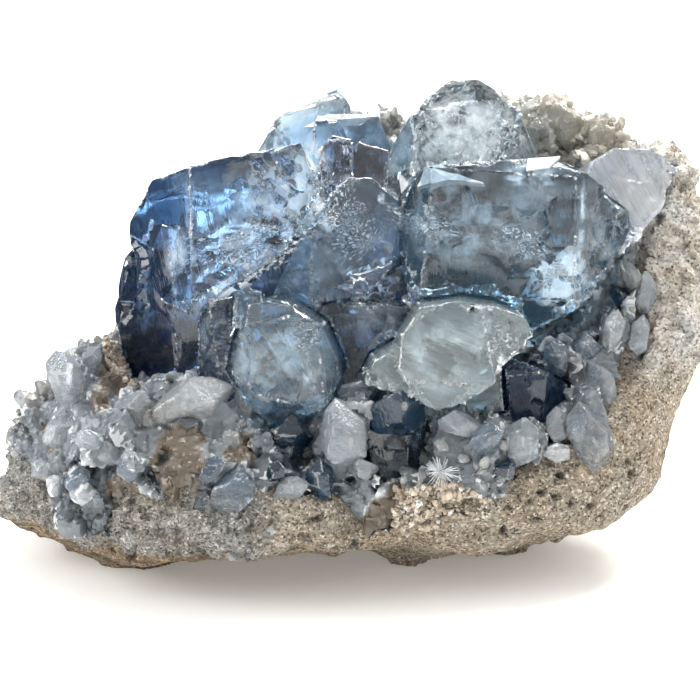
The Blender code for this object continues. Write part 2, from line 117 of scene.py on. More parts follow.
def cell_noise(points, size, seed):
    """Distances, in cells, to the nearest and the second nearest of the seeds scattered one to a cell."""
    near = np.full(points.shape[:-1], 9.0)
    second = near.copy()
    for cell, away, distance in seeds_around(points, size, seed):
        second = np.minimum(second, np.maximum(near, distance))
        near = np.minimum(near, distance)
    return near, second


def facet_noise(points, size, seed):
    """Flat facets: height = number + tilt . (point - seed), with the nearest seed's own number and tilt."""
    near, height = np.full(len(points), 9.0), np.zeros(len(points))
    for cell, away, distance in seeds_around(points, size, seed):
        tilt = np.stack([lattice_value(cell, seed + 10 + axis) for axis in range(3)], axis=-1) - 0.5
        own = lattice_value(cell, seed + 20) + 1.7 * np.sum(tilt * away, axis=-1)
        height = np.where(distance < near, own, height)
        near = np.minimum(near, distance)
    return height


def unit(vectors):
    """The same directions with the length 1."""
    return vectors / np.linalg.norm(vectors, axis=-1, keepdims=True)


def rise(values, low, high):
    """0 below low, 1 above high, and a smooth 3t^2 - 2t^3 between them."""
    part = np.clip((values - low) / (high - low), 0, 1)
    return part * part * (3 - 2 * part)


sample = soft_noise(np.random.default_rng(1).uniform(-0.05, 0.05, (2000, 3)), 0.006, 3)
print("soft noise runs from", round(sample.min(), 2), "to", round(sample.max(), 2))

# %% [markdown]
# ## Copies, bodies from arrays, and painted numbers
#
# A solid of the frame is a mesh of loose triangles and stays as it is. A visible piece that replaces it
# starts as a copy whose doubled corners are merged. For a crystal, flat neighbours are dissolved to whole
# facets, so that the edges left are its real edges. The rock and the crust are remeshed to even squares, fine
# enough for relief. All small bodies, such as grains, lumps and veils, are rings of points that are closed at
# both ends, so one function makes their faces.

# %% Copies and arrays
def merged_copy(node, flatness=1.0):
    """A copy of a solid as a bmesh: corners within 2 micrometres merged, flat neighbours dissolved."""
    bm = bmesh.new()
    bm.from_mesh(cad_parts[node].data)
    bmesh.ops.remove_doubles(bm, verts=bm.verts, dist=2e-6)
    if flatness:
        bmesh.ops.dissolve_limit(bm, angle_limit=math.radians(flatness), verts=bm.verts, edges=bm.edges)
    bm.normal_update()
    return bm


def linked(name, mesh):
    """An object of the scene at the origin that holds this mesh."""
    piece = bpy.data.objects.new(name, mesh)
    bpy.context.scene.collection.objects.link(piece)
    return piece


def as_piece(bm, name):
    """The object of a bmesh, which is freed."""
    mesh = bpy.data.meshes.new(name)
    bm.to_mesh(mesh)
    bm.free()
    return linked(name, mesh)


def even_copy(node, name, square):
    """A copy of a solid, remeshed to even squares of this size in mm."""
    piece = as_piece(merged_copy(node, flatness=0), name)
    remesh = piece.modifiers.new("even_squares", "REMESH")
    remesh.mode, remesh.voxel_size = "VOXEL", square * MM
    graph = bpy.context.evaluated_depsgraph_get()
    mesh = bpy.data.meshes.new_from_object(piece.evaluated_get(graph))
    piece.modifiers.clear()
    piece.data = mesh
    return piece


def from_arrays(name, places, faces):
    """The object made of vertex places and a list of faces."""
    mesh = bpy.data.meshes.new(name)
    mesh.from_pydata(places.reshape(-1, 3).tolist(), [], faces)
    mesh.validate()
    return linked(name, mesh)


def ring_bodies(name, places, upwards=False):
    """Closed bodies from places[body, ring, step round it]: walls between rings, and caps on the end ones.

    The steps run anticlockwise as seen from the first ring, or with upwards from the last.
    """
    count, rings, around = places.shape[:3]
    k = np.arange(around)
    after = (k + 1) % around
    ring = np.arange(rings - 1)[:, None] * around
    corners = (ring + k, ring + around + k, ring + around + after, ring + after)
    walls = np.stack(corners, axis=-1).reshape(-1, 4)
    if upwards:
        walls, k = walls[:, [0, 3, 2, 1]], k[::-1]
    first = np.arange(count)[:, None] * rings * around
    faces = (walls + first[..., None]).reshape(-1, 4).tolist()
    faces += (k + first).tolist() + ((rings - 1) * around + k[::-1] + first).tolist()
    return from_arrays(name, places, faces)


def places_of(piece, what="co"):
    """The vertex places, or with what="normal" the vertex normals, as rows of x, y, z."""
    flat = np.empty(len(piece.data.vertices) * 3, np.float32)
    piece.data.vertices.foreach_get(what, flat)
    return flat.reshape(-1, 3).astype(float)


def move_to(piece, places):
    """Puts the vertices at these places, kept inside the box of the measured solids."""
    low, high = np.array(CAD_BOX[0]) + 2e-5, np.array(CAD_BOX[1]) - 2e-5
    low[2] = CAD_BOX[0][2]
    piece.data.vertices.foreach_set("co", np.clip(places, low, high).astype(np.float32).ravel())
    piece.data.update()


def paint(piece, name, values):
    """A number on each vertex, which a material reads by this name."""
    piece.data.attributes.new(name, "FLOAT", "POINT").data.foreach_set("value", values.astype(np.float32))


def smooth_but_sharp(piece, degrees):
    """Smooth shading, except across edges that turn by more than this angle."""
    piece.data.shade_smooth()
    piece.data.set_sharp_from_angle(angle=math.radians(degrees))


def hand_over(piece, finish, stands_for=None):
    """The piece gets its finish, rides on the one body, and may stand for a solid."""
    piece.data.materials.clear()
    piece.data.materials.append(finish)
    if stands_for:
        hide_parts(stands_for)
    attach(piece, "root")
    print(piece.name, "has", len(piece.data.polygons), "faces")


def away_from(points, centre, reach):
    """The distance from a middle as a share of the reach, both in mm: 1 on the surface of that ellipsoid."""
    return np.linalg.norm((points / MM - centre) / reach, axis=1)


print("left block has", len(merged_copy("left_block_crystal").faces), "facets")

# %% [markdown]
# ## Nodes in a few words
#
# Every finish below is a small tree of shader nodes. Written out, each node takes several lines, so the kinds
# that come back get a function with a short name: arithmetic, mixing two colours, moving a range, reading a
# painted number, and noise.

# %% Short names for nodes
def fill(tree, made, inputs):
    """Each input of a node is linked to a socket or given a value."""
    for key, value in inputs.items():
        if isinstance(value, bpy.types.NodeSocket):
            tree.links.new(value, made.inputs[key])
        else:
            made.inputs[key].default_value = value


def node(tree, kind, inputs=(), **settings):
    """A shader node with its settings made and its inputs filled."""
    made = tree.nodes.new("ShaderNode" + kind)
    for key, value in settings.items():
        setattr(made, key, value)
    fill(tree, made, dict(inputs))
    return made


def calc(tree, operation, *values, clamp=False):
    """The result of a Math node."""
    return node(tree, "Math", enumerate(values), operation=operation, use_clamp=clamp).outputs[0]


def mix(tree, share, first, second, blend="MIX"):
    """first * (1 - share) + second * share, or with blend="MULTIPLY" their product in place of the second."""
    first, second = ((*value, 1) if isinstance(value, tuple) else value for value in (first, second))
    return node(tree, "Mix", {0: share, 6: first, 7: second}, data_type="RGBA", blend_type=blend).outputs[2]


def remap(tree, value, start, end, low=0.0, high=1.0):
    """The value moved from the range start to end into the range low to high, and kept inside it."""
    return node(tree, "MapRange", {"Value": value, "From Min": start, "From Max": end,
                                   "To Min": low, "To Max": high}).outputs[0]


def painted(tree, name):
    """A number that was painted on the vertices."""
    return node(tree, "Attribute", attribute_name=name).outputs["Fac"]


def tex_noise(tree, place, scale, detail, rough=0.5, **more):
    """The outputs of a Noise Texture: first the value, then three values as a colour."""
    return node(tree, "TexNoise", {"Vector": place, "Scale": scale, "Detail": detail, "Roughness": rough,
                                   **more}).outputs


def ramp(tree, factor, stops):
    """A colour ramp with these (place, grey or colour) stops."""
    made = node(tree, "ValToRGB", {"Fac": factor})
    elements = made.color_ramp.elements
    while len(elements) < len(stops):
        elements.new(0.5)
    for element, (place, value) in zip(elements, stops):
        element.position = place
        element.color = (value, value, value, 1) if isinstance(value, (int, float)) else (*value, 1)
    return made.outputs["Color"]


def new_finish(name, **constants):
    """A material, its tree and its object coordinates, with constants such as IOR=1.62 set on the shader."""
    material = bpy.data.materials.new(name)
    material.use_nodes = True
    tree = material.node_tree
    set_shader(tree, **constants)
    return material, tree, node(tree, "TexCoord").outputs["Object"]


def set_shader(tree, **inputs):
    """Fills inputs of the shader, with _ for each space in their names."""
    fill(tree, tree.nodes["Principled BSDF"], {key.replace("_", " "): value for key, value in inputs.items()})


print("short names for nodes are ready")

# %% [markdown]
# ## Light, floor and camera
#
# The specimen stands on a white table in soft light from above and behind, so its shadow falls forward. A
# clear crystal shows whatever surrounds it, so the surroundings matter more than any lamp: bright overhead
# and behind, dimmer in front. The sky is a gradient in the world's own nodes, and two large soft panels add
# the gleams on top. A dark card at the left is seen in reflections only, as studios use it, and keeps the
# flank of the left crystal dark.

# %% World, lights, floor and camera
def soft_panel(name, place, target, size, power, colour):
    """A rectangular lamp at this place that shines at the target."""
    lamp = bpy.data.lights.new(name, "AREA")
    lamp.shape, lamp.size, lamp.size_y = "RECTANGLE", size[0], size[1]
    lamp.energy, lamp.color = power, colour
    holder = bpy.data.objects.new(name, lamp)
    holder.location = place
    holder.rotation_euler = (Vector(target) - Vector(place)).to_track_quat("-Z", "Y").to_euler()
    bpy.context.scene.collection.objects.link(holder)


scene = bpy.context.scene
scene.world = bpy.data.worlds.new("soft_room")
scene.world.use_nodes = True
sky = scene.world.node_tree
sky.nodes.clear()
way = node(sky, "SeparateXYZ", {0: node(sky, "TexCoord").outputs["Generated"]}).outputs
height = ramp(sky, way["Z"], [(0.0, 0.7), (0.25, 0.9), (0.7, 1.3), (1.0, 1.35)])
grey = calc(sky, "MULTIPLY", remap(sky, way["Y"], -1.0, 0.6, 0.62, 1.15), height)
room = node(sky, "Background", {"Color": node(sky, "CombineColor", {0: grey, 1: grey, 2: grey}).outputs[0],
                                "Strength": 1.0})
plain = node(sky, "Background", {"Color": (1, 1, 1, 1), "Strength": 1.05})
seen = node(sky, "LightPath").outputs["Is Camera Ray"]
node(sky, "OutputWorld", {"Surface": node(sky, "MixShader", {
    0: seen, 1: room.outputs[0], 2: plain.outputs[0]}).outputs[0]})

soft_panel("top_panel", (0.12, 0.22, 0.5), (0, 0, 0.04), (0.5, 0.35), 6.0, (1.0, 0.99, 0.97))
soft_panel("left_panel", (-0.5, -0.15, 0.3), (0, 0, 0.04), (0.3, 0.35), 2.0, (0.96, 0.98, 1.0))

TARGET = Vector((-0.58, -3.7, 34.4)) * MM
DISTANCE, RAISED = 0.300, math.radians(14)
camera = bpy.data.objects.new("camera", bpy.data.cameras.new("camera"))
camera.data.lens, camera.data.sensor_width = 88.5, 36
camera.data.clip_start = 0.01
camera.location = TARGET + DISTANCE * Vector((0, -math.cos(RAISED), math.sin(RAISED)))
camera.rotation_euler = (TARGET - camera.location).to_track_quat("-Z", "Y").to_euler()
scene.collection.objects.link(camera)
scene.camera = camera

scene.view_settings.view_transform = "Standard"
for setting, value in (("use_denoising", True), ("max_bounces", 8), ("transmission_bounces", 7),
                       ("transparent_max_bounces", 6), ("glossy_bounces", 2), ("diffuse_bounces", 2),
                       ("sample_clamp_indirect", 6.0)):
    setattr(scene.cycles, setting, value)

# The table is a disc of three rings: place = radius (cos turn, sin turn), a twentieth of a millimetre down.
turn = np.linspace(0, 2 * np.pi, 64, endpoint=False)
radii = np.array([0.0001, 0.3, 3.0, 40.0])[:, None]
places = np.stack([radii * np.cos(turn), radii * np.sin(turn), np.full((4, 64), -0.00005)], axis=-1)
k = np.arange(64)
one = np.stack([k, k + 64, (k + 1) % 64 + 64, (k + 1) % 64], axis=1)
quads = (one + 64 * np.arange(3)[:, None, None]).reshape(-1, 4).tolist()
table_top = from_arrays("table_top", places, quads + [k.tolist()])
table_top.data.materials.append(new_finish("white_table", Base_Color=(0.95, 0.945, 0.935, 1), Roughness=0.7,
                                           Emission_Color=(1.0, 0.95, 0.88, 1), Emission_Strength=0.20)[0])

CARD = np.array([(-0.105, -0.02, 0.001), (-0.105, 0.30, 0.001), (-0.105, 0.30, 0.13), (-0.105, -0.02, 0.13)])
dark_card = from_arrays("dark_card", CARD, [(0, 1, 2, 3)])
for ray in ("camera", "diffuse", "transmission", "shadow"):
    setattr(dark_card, "visible_" + ray, False)
dark_card.data.materials.append(new_finish("dark_card_finish", Base_Color=(0.06, 0.08, 0.12, 1),
                                           Roughness=1.0)[0])
print("camera at", [round(v, 3) for v in camera.location])

# %% [markdown]
# ## Shared effects of the finishes
#
# Five effects are node groups with a few sockets, each made once, and used by the finishes below. Growth lines
# are the fine parallel steps on a crystal face: noise that is stretched along one direction.
# Mottling blends two colours by noise, with a set contrast. Grit gives the small dark pits of rock. Bruises
# and glints are white where a painted number is stronger than fine noise: worn chips on the crystals, and worn
# chips with painted glints on the druse. Granules are packed grains, each with a number of its own, which a
# colour ramp turns into the tones of rock.

# %% Node groups
SOCKETS = {"vector": "NodeSocketVector", "number": "NodeSocketFloat", "colour": "NodeSocketColor"}


def new_group(name, inputs, outputs):
    """An empty node group: its tree, its output node, and the sockets of its (name, kind, default) inputs."""
    tree = bpy.data.node_groups.new(name, "ShaderNodeTree")
    for label, kind, value in inputs:
        socket = tree.interface.new_socket(name=label, in_out="INPUT", socket_type=SOCKETS[kind])
        if value is not None:
            socket.default_value = value
    for label, kind in outputs:
        tree.interface.new_socket(name=label, in_out="OUTPUT", socket_type=SOCKETS[kind])
    given, out = tree.nodes.new("NodeGroupInput"), tree.nodes.new("NodeGroupOutput")
    return (tree, out, *(given.outputs[label] for label, kind, value in inputs))


def group(tree, made, inputs):
    """The outputs of a group that is placed in a material with these inputs."""
    placed = node(tree, "Group", node_tree=made)
    fill(tree, placed, inputs)
    return placed.outputs


VECTOR = ("Vector", "vector", None)

# Growth lines: Height = noise at (x, y, z * stretch), so that its lines run along z.
tree, out, place, per_metre, stretch = new_group(
    "growth_lines", [VECTOR, ("Lines per metre", "number", 900.0), ("Stretch", "number", 0.06)],
    [("Height", "number")])
parts = node(tree, "SeparateXYZ", {0: place}).outputs
flattened = node(tree, "CombineXYZ", {0: parts[0], 1: parts[1], 2: calc(tree, "MULTIPLY", parts[2], stretch)})
fill(tree, out, {"Height": tex_noise(tree, flattened.outputs[0], per_metre, 2.5, 0.65)[0]})
GROWTH_LINES = tree

# Mottle: Mask = (noise - 0.5) * contrast + 0.5 within 0 to 1, Color = first to second by the mask.
tree, out, place, scale, contrast, first, second = new_group(
    "mottle", [VECTOR, ("Scale", "number", 200.0), ("Contrast", "number", 2.0), ("First", "colour", None),
               ("Second", "colour", None)], [("Color", "colour"), ("Mask", "number")])
centred = calc(tree, "SUBTRACT", tex_noise(tree, place, scale, 3.0, 0.7)[0], 0.5)
spread = calc(tree, "MULTIPLY_ADD", centred, contrast, 0.5, clamp=True)
fill(tree, out, {"Color": mix(tree, spread, first, second), "Mask": spread})
MOTTLE = tree

# Grit: Pits = 1 within 0.06 to 0.15 of a cell's seed, and 0 beyond.
tree, out, place, scale = new_group("grit", [VECTOR, ("Scale", "number", 1500.0)], [("Pits", "number")])
holes = node(tree, "TexVoronoi", {"Vector": place, "Scale": calc(tree, "MULTIPLY", scale, 0.45)})
fill(tree, out, {"Pits": remap(tree, holes.outputs["Distance"], 0.15, 0.06)})
GRIT = tree

# Bruises and glints: White = 6 (1.25 chip - 0.12 - noise) within 0 to 1, Height = white * noise.
tree, out, place, chip, scale = new_group(
    "bruises_and_glints", [VECTOR, ("Chip", "number", 0.0), ("Scale", "number", 2200.0)],
    [("White", "number"), ("Height", "number")])
fine = tex_noise(tree, place, scale, 2.0, 0.7)[0]
above = calc(tree, "SUBTRACT", calc(tree, "MULTIPLY_ADD", chip, 1.25, -0.12), fine)
white = calc(tree, "MULTIPLY", above, 6.0, clamp=True)
fill(tree, out, {"White": white, "Height": calc(tree, "MULTIPLY", white, fine)})
BRUISES_AND_GLINTS = tree

# Granules: Value = the own number of the cell, at a place pushed by noise, Height = 0.7 value + noise.
tree, out, place, scale = new_group(
    "granules", [VECTOR, ("Scale", "number", 1700.0)], [("Value", "number"), ("Height", "number")])
push = tex_noise(tree, place, calc(tree, "MULTIPLY", scale, 1.6), 2.0)
pushed = node(tree, "VectorMath", {0: push["Color"], 1: (0.0004,) * 3, 2: place}, operation="MULTIPLY_ADD")
cells = node(tree, "TexVoronoi", {"Vector": pushed.outputs[0], "Scale": scale}).outputs["Color"]
own = node(tree, "SeparateXYZ", {0: cells}).outputs[0]
fill(tree, out, {"Value": own, "Height": calc(tree, "MULTIPLY_ADD", own, 0.7, push[0])})
GRANULES = tree
print("node groups:", [tree.name for tree in bpy.data.node_groups])

# %% [markdown]
# ## The clear crystals
#
# Celestite is as clear as glass and bends light a little more, with an index of 1.62. Its blue is in the
# whole body, so it comes from absorption along the path of the light: thick parts are deep blue, thin edges
# are almost white. Its faces are not perfect. They carry faint growth lines, and the edges are bruised and
# chipped, where the surface scatters light and looks white.
#
# Each visible crystal starts from its solid. The convex edges get a small bevel. Long edges are divided
# until the mesh is fine enough to carry relief, and finer still near the edges, where the chips are. Then
# the surface is moved inwards by noise, so it never leaves the space of the solid.

# %% The finish of a clear crystal
def clear_finish(name, body, density, lines, turn, tint=(0.78, 0.90, 1.0), cloud=(0.60, 0.77, 0.92),
                 clear=0.96, rough=0.04, deep=(0.30, 0.46, 0.66)):
    """Clear mineral: absorption makes the body colour, growth lines the relief, and chips are white."""
    material, tree, place = new_finish(name, IOR=1.62, Transmission_Weight=clear)
    turned = node(tree, "Mapping", {"Vector": place, "Rotation": turn}).outputs[0]
    grown = group(tree, GROWTH_LINES, {"Vector": turned, "Lines per metre": 900.0, "Stretch": 0.06})[0]
    cloudy = painted(tree, "cloudy")
    # The depth mask blends in the deep colour: painted shade, together with the depth of the body.
    colour = mix(tree, painted(tree, "depth"), mix(tree, cloudy, tint, cloud), deep)
    colour = mix(tree, 1.0, colour, remap(tree, grown, 0.35, 0.65, 0.82, 1.1), "MULTIPLY")
    white, height = group(tree, BRUISES_AND_GLINTS, {"Vector": place, "Chip": painted(tree, "chip")}).values()
    colour = mix(tree, white, colour, (0.98, 0.99, 1.0))
    # Hollows are painted nearly black: painted shade inside the hollow.
    colour = mix(tree, painted(tree, "hollow"), colour, (0.004, 0.005, 0.008))
    film = remap(tree, cloudy, 0.4, 0.8, rough, rough + 0.1)
    bump = node(tree, "Bump", {"Strength": lines, "Distance": 0.0004,
                               "Height": calc(tree, "MULTIPLY_ADD", height, 1.5, grown)})
    set_shader(tree, Base_Color=colour, Normal=bump.outputs[0],
               Roughness=calc(tree, "MULTIPLY_ADD", white, 0.4, film))
    inside = node(tree, "VolumeAbsorption", {"Color": (*body, 1), "Density": density})
    fill(tree, tree.nodes["Material Output"], {"Volume": inside.outputs[0]})
    return material


print("clear finish ready")

# %% Bevelled, refined and chipped crystal bodies
def distance_to_lines(points, starts, ends):
    """For each point, the distance to the nearest of these straight lines: the shortest over all lines."""
    best = np.full(len(points), 1.0)
    for start, end in zip(starts, ends):
        along = end - start
        share = np.clip((points - start) @ along / max(along @ along, 1e-12), 0, 1)
        best = np.minimum(best, np.linalg.norm(points - start - share[:, None] * along, axis=1))
    return best


def sharp_lines(bm, worn):
    """Starts and ends of the edges that turn by over 18 degrees and of the worn lines, and those edges."""
    edges = [edge for edge in bm.edges if edge.is_manifold and edge.calc_face_angle(0) > math.radians(18)]
    starts, ends = (np.array([edge.verts[k].co[:] for edge in edges]) for k in range(2))
    return np.concatenate([starts, worn[:-1]]), np.concatenate([ends, worn[1:]]), edges


def refine(bm, starts, ends, shattered):
    """Halves long edges, seven times at most: over 0.6 mm where there is relief, else over 1.5 mm."""
    bmesh.ops.triangulate(bm, faces=bm.faces)
    for step in range(7):
        bm.edges.ensure_lookup_table()
        middles = np.array([(edge.verts[0].co + edge.verts[1].co)[:] for edge in bm.edges]) / 2
        lengths = np.array([edge.calc_length() for edge in bm.edges])
        beside = distance_to_lines(middles, starts, ends) < 0.7 * MM
        for centre, reach, size, depth in shattered:
            beside |= away_from(middles, centre, reach) < 1.1
        too_long = np.flatnonzero(lengths > np.where(beside, 0.6, 1.5) * MM)
        if not len(too_long) or len(bm.faces) > 110000:
            break
        bmesh.ops.subdivide_edges(bm, edges=[bm.edges[k] for k in too_long], cuts=1)
        bmesh.ops.triangulate(bm, faces=[face for face in bm.faces if len(face.verts) > 3])


def crystal_body(name, seed, chip_share, white_lines):
    """The solid with bevelled edges, moved inwards by waves, by chips near its edges, by facets where it is
    shattered, and by larger facets at its hidden root, with each of these painted on the vertices.
    """
    shattered, worn = SHATTERED.get(name, ()), np.array(WORN.get(name, ())).reshape(-1, 3) * MM
    bm = merged_copy(name + "_crystal")
    starts, ends, edges = sharp_lines(bm, worn)
    bmesh.ops.bevel(bm, geom=[edge for edge in edges if edge.is_convex], offset=0.22 * MM, segments=2,
                    profile=0.5, affect="EDGES", clamp_overlap=True)
    refine(bm, starts, ends, shattered)
    piece = as_piece(bm, name)
    points, outward = places_of(piece), places_of(piece, "normal")

    def soft(size, step):
        return soft_noise(points, size * MM, seed + step)

    near, second = cell_noise(points, 0.8 * MM, seed + 7)
    beside = 1 - np.clip(distance_to_lines(points, starts, ends) / (0.85 * MM), 0, 1)
    chip = beside * rise(soft(3.0, 0), 1 - chip_share, 1.12 - chip_share)
    if len(worn):
        crumbled = 1 - distance_to_lines(points, worn[:-1], worn[1:]) / (1.9 * MM)
        chip = np.maximum(chip, np.clip(crumbled, 0, 1) * (0.5 + 0.6 * soft(1.6, 3)))
    hollow = np.zeros(len(points))
    for centre, reach in SHADED_HOLLOWS.get(name, ()):
        away = away_from(points, centre, reach) + 0.5 * (soft(0.7, 5) - 0.5)
        hollow = np.maximum(hollow, rise(-away, -1.15, -0.7))
    root = rise(0.7 * outward[:, 1] - 0.7 * outward[:, 2], 0.15, 0.5)
    large, small = (np.clip(facet_noise(points, size * MM, seed + step), 0, 1.4)
                    for size, step in ((5.5, 11), (3.0, 12)))
    inwards = (0.10 * soft(7.5, 1) + 0.04 * soft(2.7, 2) + chip * (0.18 + 0.3 * near) + 0.7 * hollow
               + root * (1.3 * large + 0.6 * small))
    white = np.clip(chip * 1.5, 0, 1) * (0.35 + 0.65 * rise(second - near, 0.05, 0.4))
    for centre, reach, size, depth in shattered:
        away = away_from(points, centre, reach) + 0.5 * (soft(3, 13) - 0.5)
        zone = rise(-away, -1.05, -0.75) * (1 - root)
        inwards += zone * depth * np.clip(facet_noise(points, size * MM, seed + 14), 0, 1.3)
        nearest, other = cell_noise(points, size * MM, seed + 14)
        lines = rise(-(other - nearest), -0.16, -0.03) * rise(soft(2, 15), 0.3, 0.6)
        white = np.maximum(white, white_lines * (1 if size < 5 else 0.25) * zone * lines)
    # Painted shade and depth: how far the colour turns to the deep colour in each zone.
    shade_and_depth = np.zeros(len(points))
    for centre, reach, strength in SHADE_AND_DEPTH_ZONES.get(name, ()):
        away = away_from(points, centre, reach) + 0.3 * (soft(6, 16) - 0.5)
        shade_and_depth = np.maximum(shade_and_depth, strength * rise(-away, -1.15, -0.75))
    move_to(piece, points - outward * inwards[:, None] * MM)
    for mask, values in (("chip", white), ("hollow", hollow), ("depth", shade_and_depth),
                         ("cloudy", rise(0.65 * soft(7, 8) + 0.35 * soft(2, 9), 0.25, 0.75))):
        paint(piece, mask, values)
    smooth_but_sharp(piece, 24)
    return piece


print("crystal bodies ready")

# %% [markdown]
# ## What each crystal looks like
#
# The tables say where a crystal is worn, hollow, painted dark or shattered, in mm and by the name of the
# piece.
# The dark zones are painted shade, together with the depth of the body, and the hollows are painted black as
# painted shade. Of each colour, exp(-(1 - body) * density * length) of the light is left after a length in
# metres, so a higher density makes a deeper blue. The dark crystals share one deep blue and differ in density
# and tint.

# %% The thirteen crystals
SLATE_BLUE, CLEAR_BLUE = (0.41, 0.70, 0.93), (0.55, 0.84, 0.98)
NAVY, MILK = (0.20, 0.42, 0.74), (0.62, 0.77, 0.82)
WORN = {"left_block": [(-26.2, -22.7, 45.5), (-22.4, -22.7, 48.8), (-16.7, -22.7, 52.3), (-12.2, -22.7, 53.7),
                       (-8.6, -22.5, 58.0), (-5.7, -22.2, 61.9), (-3.6, -22.2, 65.4), (-8, -22.2, 70.5),
                       (-14.6, -22.2, 71.2)]}
# Hollows: middle and reach in mm; the surface sinks there and is painted nearly black as painted shade.
SHADED_HOLLOWS = {"left_block": [((-12.7, -22.2, 57.1), (1.5, 3.0, 0.75))]}
# Where a crystal is painted darker, as painted shade together with the depth of its body: middle and reach in
# mm, and how dark.
SHADE_AND_DEPTH_ZONES = {"left_block": [((-33, -16, 35), (11, 20, 14), 0.66), ((-40, -8, 54), (13, 34, 34), 0.95),
                       ((-14, -10, 46), (9, 8, 6), 0.7), ((-24, -22, 71), (12, 6, 3.5), 0.75),
                       ((-13, -20, 66), (4, 4, 3), 0.6)],
        "middle": [((3, -12, 46), (6, 8, 8), 0.8)],
        "right_block": [((22, -18, 47), (9, 9, 8), 0.6), ((17, -16, 58), (4, 6, 8), 0.6)],
        "back": [((-2, 26, 66), (14, 14, 7), 0.8)], "top": [((9, 2, 70), (3, 8, 9), 1.0)]}
# Where a crystal's outside is broken into facets: middle, reach, facet size and depth in mm.
SHATTERED = {
    "left_block": [((-11.2, -21, 65.1), (9, 5, 6.5), 2.3, 0.8), ((-16.5, -21, 56), (8, 5, 5), 2.0, 0.55),
                   ((-38, -13, 52), (5, 9, 12), 6.0, 1.3), ((-20, -22, 50.5), (6, 4, 4), 1.7, 0.5)],
    "middle": [((-5.3, -13, 59), (3, 5, 4), 3.0, 0.8), ((3, -12, 50), (6, 6, 8), 5.0, 0.9)],
    "right_block": [((34, -19, 50.4), (7, 6, 6), 2.6, 0.7), ((27.4, -19, 57), (5, 5, 6), 3.2, 0.6),
                    ((11.5, -16, 56), (4, 8, 12), 3.6, 0.6), ((42, -14, 56), (6, 8, 12), 3.4, 0.7),
                    ((22, -20, 58), (12, 5, 12), 8.0, 0.35)],
    "top": [((16.5, -2, 73), (8, 8, 9), 4.2, 1.0), ((24, 0, 70), (5, 8, 9), 3.0, 0.7)],
    "back": [((-8, 28, 72), (16, 12, 10), 6.5, 1.0)],
    "front_centre": [((-12, -28, 37), (12, 6, 13), 6.5, 0.7), ((-8, -28, 46), (7, 5, 3), 2.4, 0.6)],
    "pale_front": [((24, -34, 42), (6, 6, 6), 3.0, 0.8), ((2, -31, 35), (7, 6, 4), 2.4, 0.7)],
    "dark_prism": [((-21, -26, 37), (5, 6, 9), 3.0, 0.5)],
    "centre_deep": [((4, -14, 47), (7, 6, 3), 1.8, 0.7), ((2, -14, 41), (8, 6, 7), 6.0, 0.8)],
    "upper_dark": [((0, -2, 66), (10, 8, 8), 5.5, 0.5)],
    "navy": [((29, -30, 34), (10, 8, 8), 4.5, 0.9)],
    "lower_dark": [((7, -32, 29), (8, 6, 8), 2.8, 0.8)],
    "right_wedge": [((50, -4, 66), (8, 8, 7), 5.0, 0.4)],
}
# Piece, seed, slot, share of chipped edges, then the finish.
BODIES = (
    ("left_block", 101, "clear_blue", 0.5,
     dict(body=SLATE_BLUE, density=56, lines=0.22, turn=(0.25, 0.2, 0), deep=(0.06, 0.12, 0.23))),
    ("middle", 117, "clear_blue", 0.5,
     dict(body=SLATE_BLUE, density=24, rough=0.12, lines=0.45, turn=(0.3, 0.75, 0), clear=0.9,
          deep=(0.5, 0.62, 0.78))),
    ("right_block", 131, "clear_blue", 0.55,
     dict(body=CLEAR_BLUE, density=32, lines=0.25, turn=(0, 0.05, 0), clear=0.98, tint=(0.74, 0.89, 1.0),
          deep=(0.42, 0.58, 0.74))),
    ("right_wedge", 143, "clear_blue", 0.5,
     dict(body=CLEAR_BLUE, density=10, rough=0.12, lines=0.5, turn=(0.2, 0.5, 0), clear=0.72,
          tint=(0.97, 0.985, 1.0), cloud=(0.84, 0.90, 1.0))),
    ("top", 157, "clear_blue", 0.55,
     dict(body=CLEAR_BLUE, density=12, lines=0.2, turn=(0, 0.3, 0), tint=(0.92, 0.98, 1.0),
          cloud=(0.86, 0.94, 1.0), clear=0.98)),
    ("back", 163, "clear_blue", 0.4,
     dict(body=CLEAR_BLUE, density=50, lines=0.25, turn=(0, -0.3, 0), clear=0.68, rough=0.22,
          tint=(0.66, 0.74, 0.77), cloud=(0.54, 0.63, 0.69))),
    ("front_centre", 179, "clear_blue", 0.55,
     dict(body=CLEAR_BLUE, density=50, rough=0.08, lines=0.35, turn=(0, 0.6, 0), clear=0.92,
          tint=(0.80, 0.93, 0.98))),
    ("pale_front", 181, "pale_milky", 0.7,
     dict(body=MILK, density=36, clear=0.82, rough=0.14, lines=0.35, turn=(0, 1.2, 0),
          tint=(0.80, 0.89, 0.89), cloud=(0.60, 0.71, 0.73))),
    ("dark_prism", 191, "deep_blue", 0.5,
     dict(body=NAVY, density=40, lines=0.5, turn=(0, 1.5, 0), tint=(0.72, 0.84, 0.95),
          cloud=(0.48, 0.60, 0.75))),
    ("centre_deep", 193, "deep_blue", 0.5,
     dict(body=NAVY, density=26, lines=0.3, turn=(0, 0.2, 0), tint=(0.72, 0.88, 1.0),
          cloud=(0.52, 0.70, 0.90))),
    ("upper_dark", 197, "deep_blue", 0.5,
     dict(body=NAVY, density=45, lines=0.5, turn=(0, 0.1, 0), tint=(0.8, 0.82, 0.86),
          cloud=(0.6, 0.62, 0.68))),
    ("navy", 199, "deep_blue", 0.5,
     dict(body=NAVY, density=90, lines=0.3, turn=(0, 0.4, 0), tint=(0.22, 0.40, 0.78), clear=0.9,
          cloud=(0.13, 0.26, 0.52))),
    ("lower_dark", 211, "deep_blue", 0.6,
     dict(body=NAVY, density=55, lines=0.3, turn=(0, 0.2, 0), tint=(0.58, 0.76, 0.88),
          cloud=(0.36, 0.52, 0.68))),
)
crystals = {}
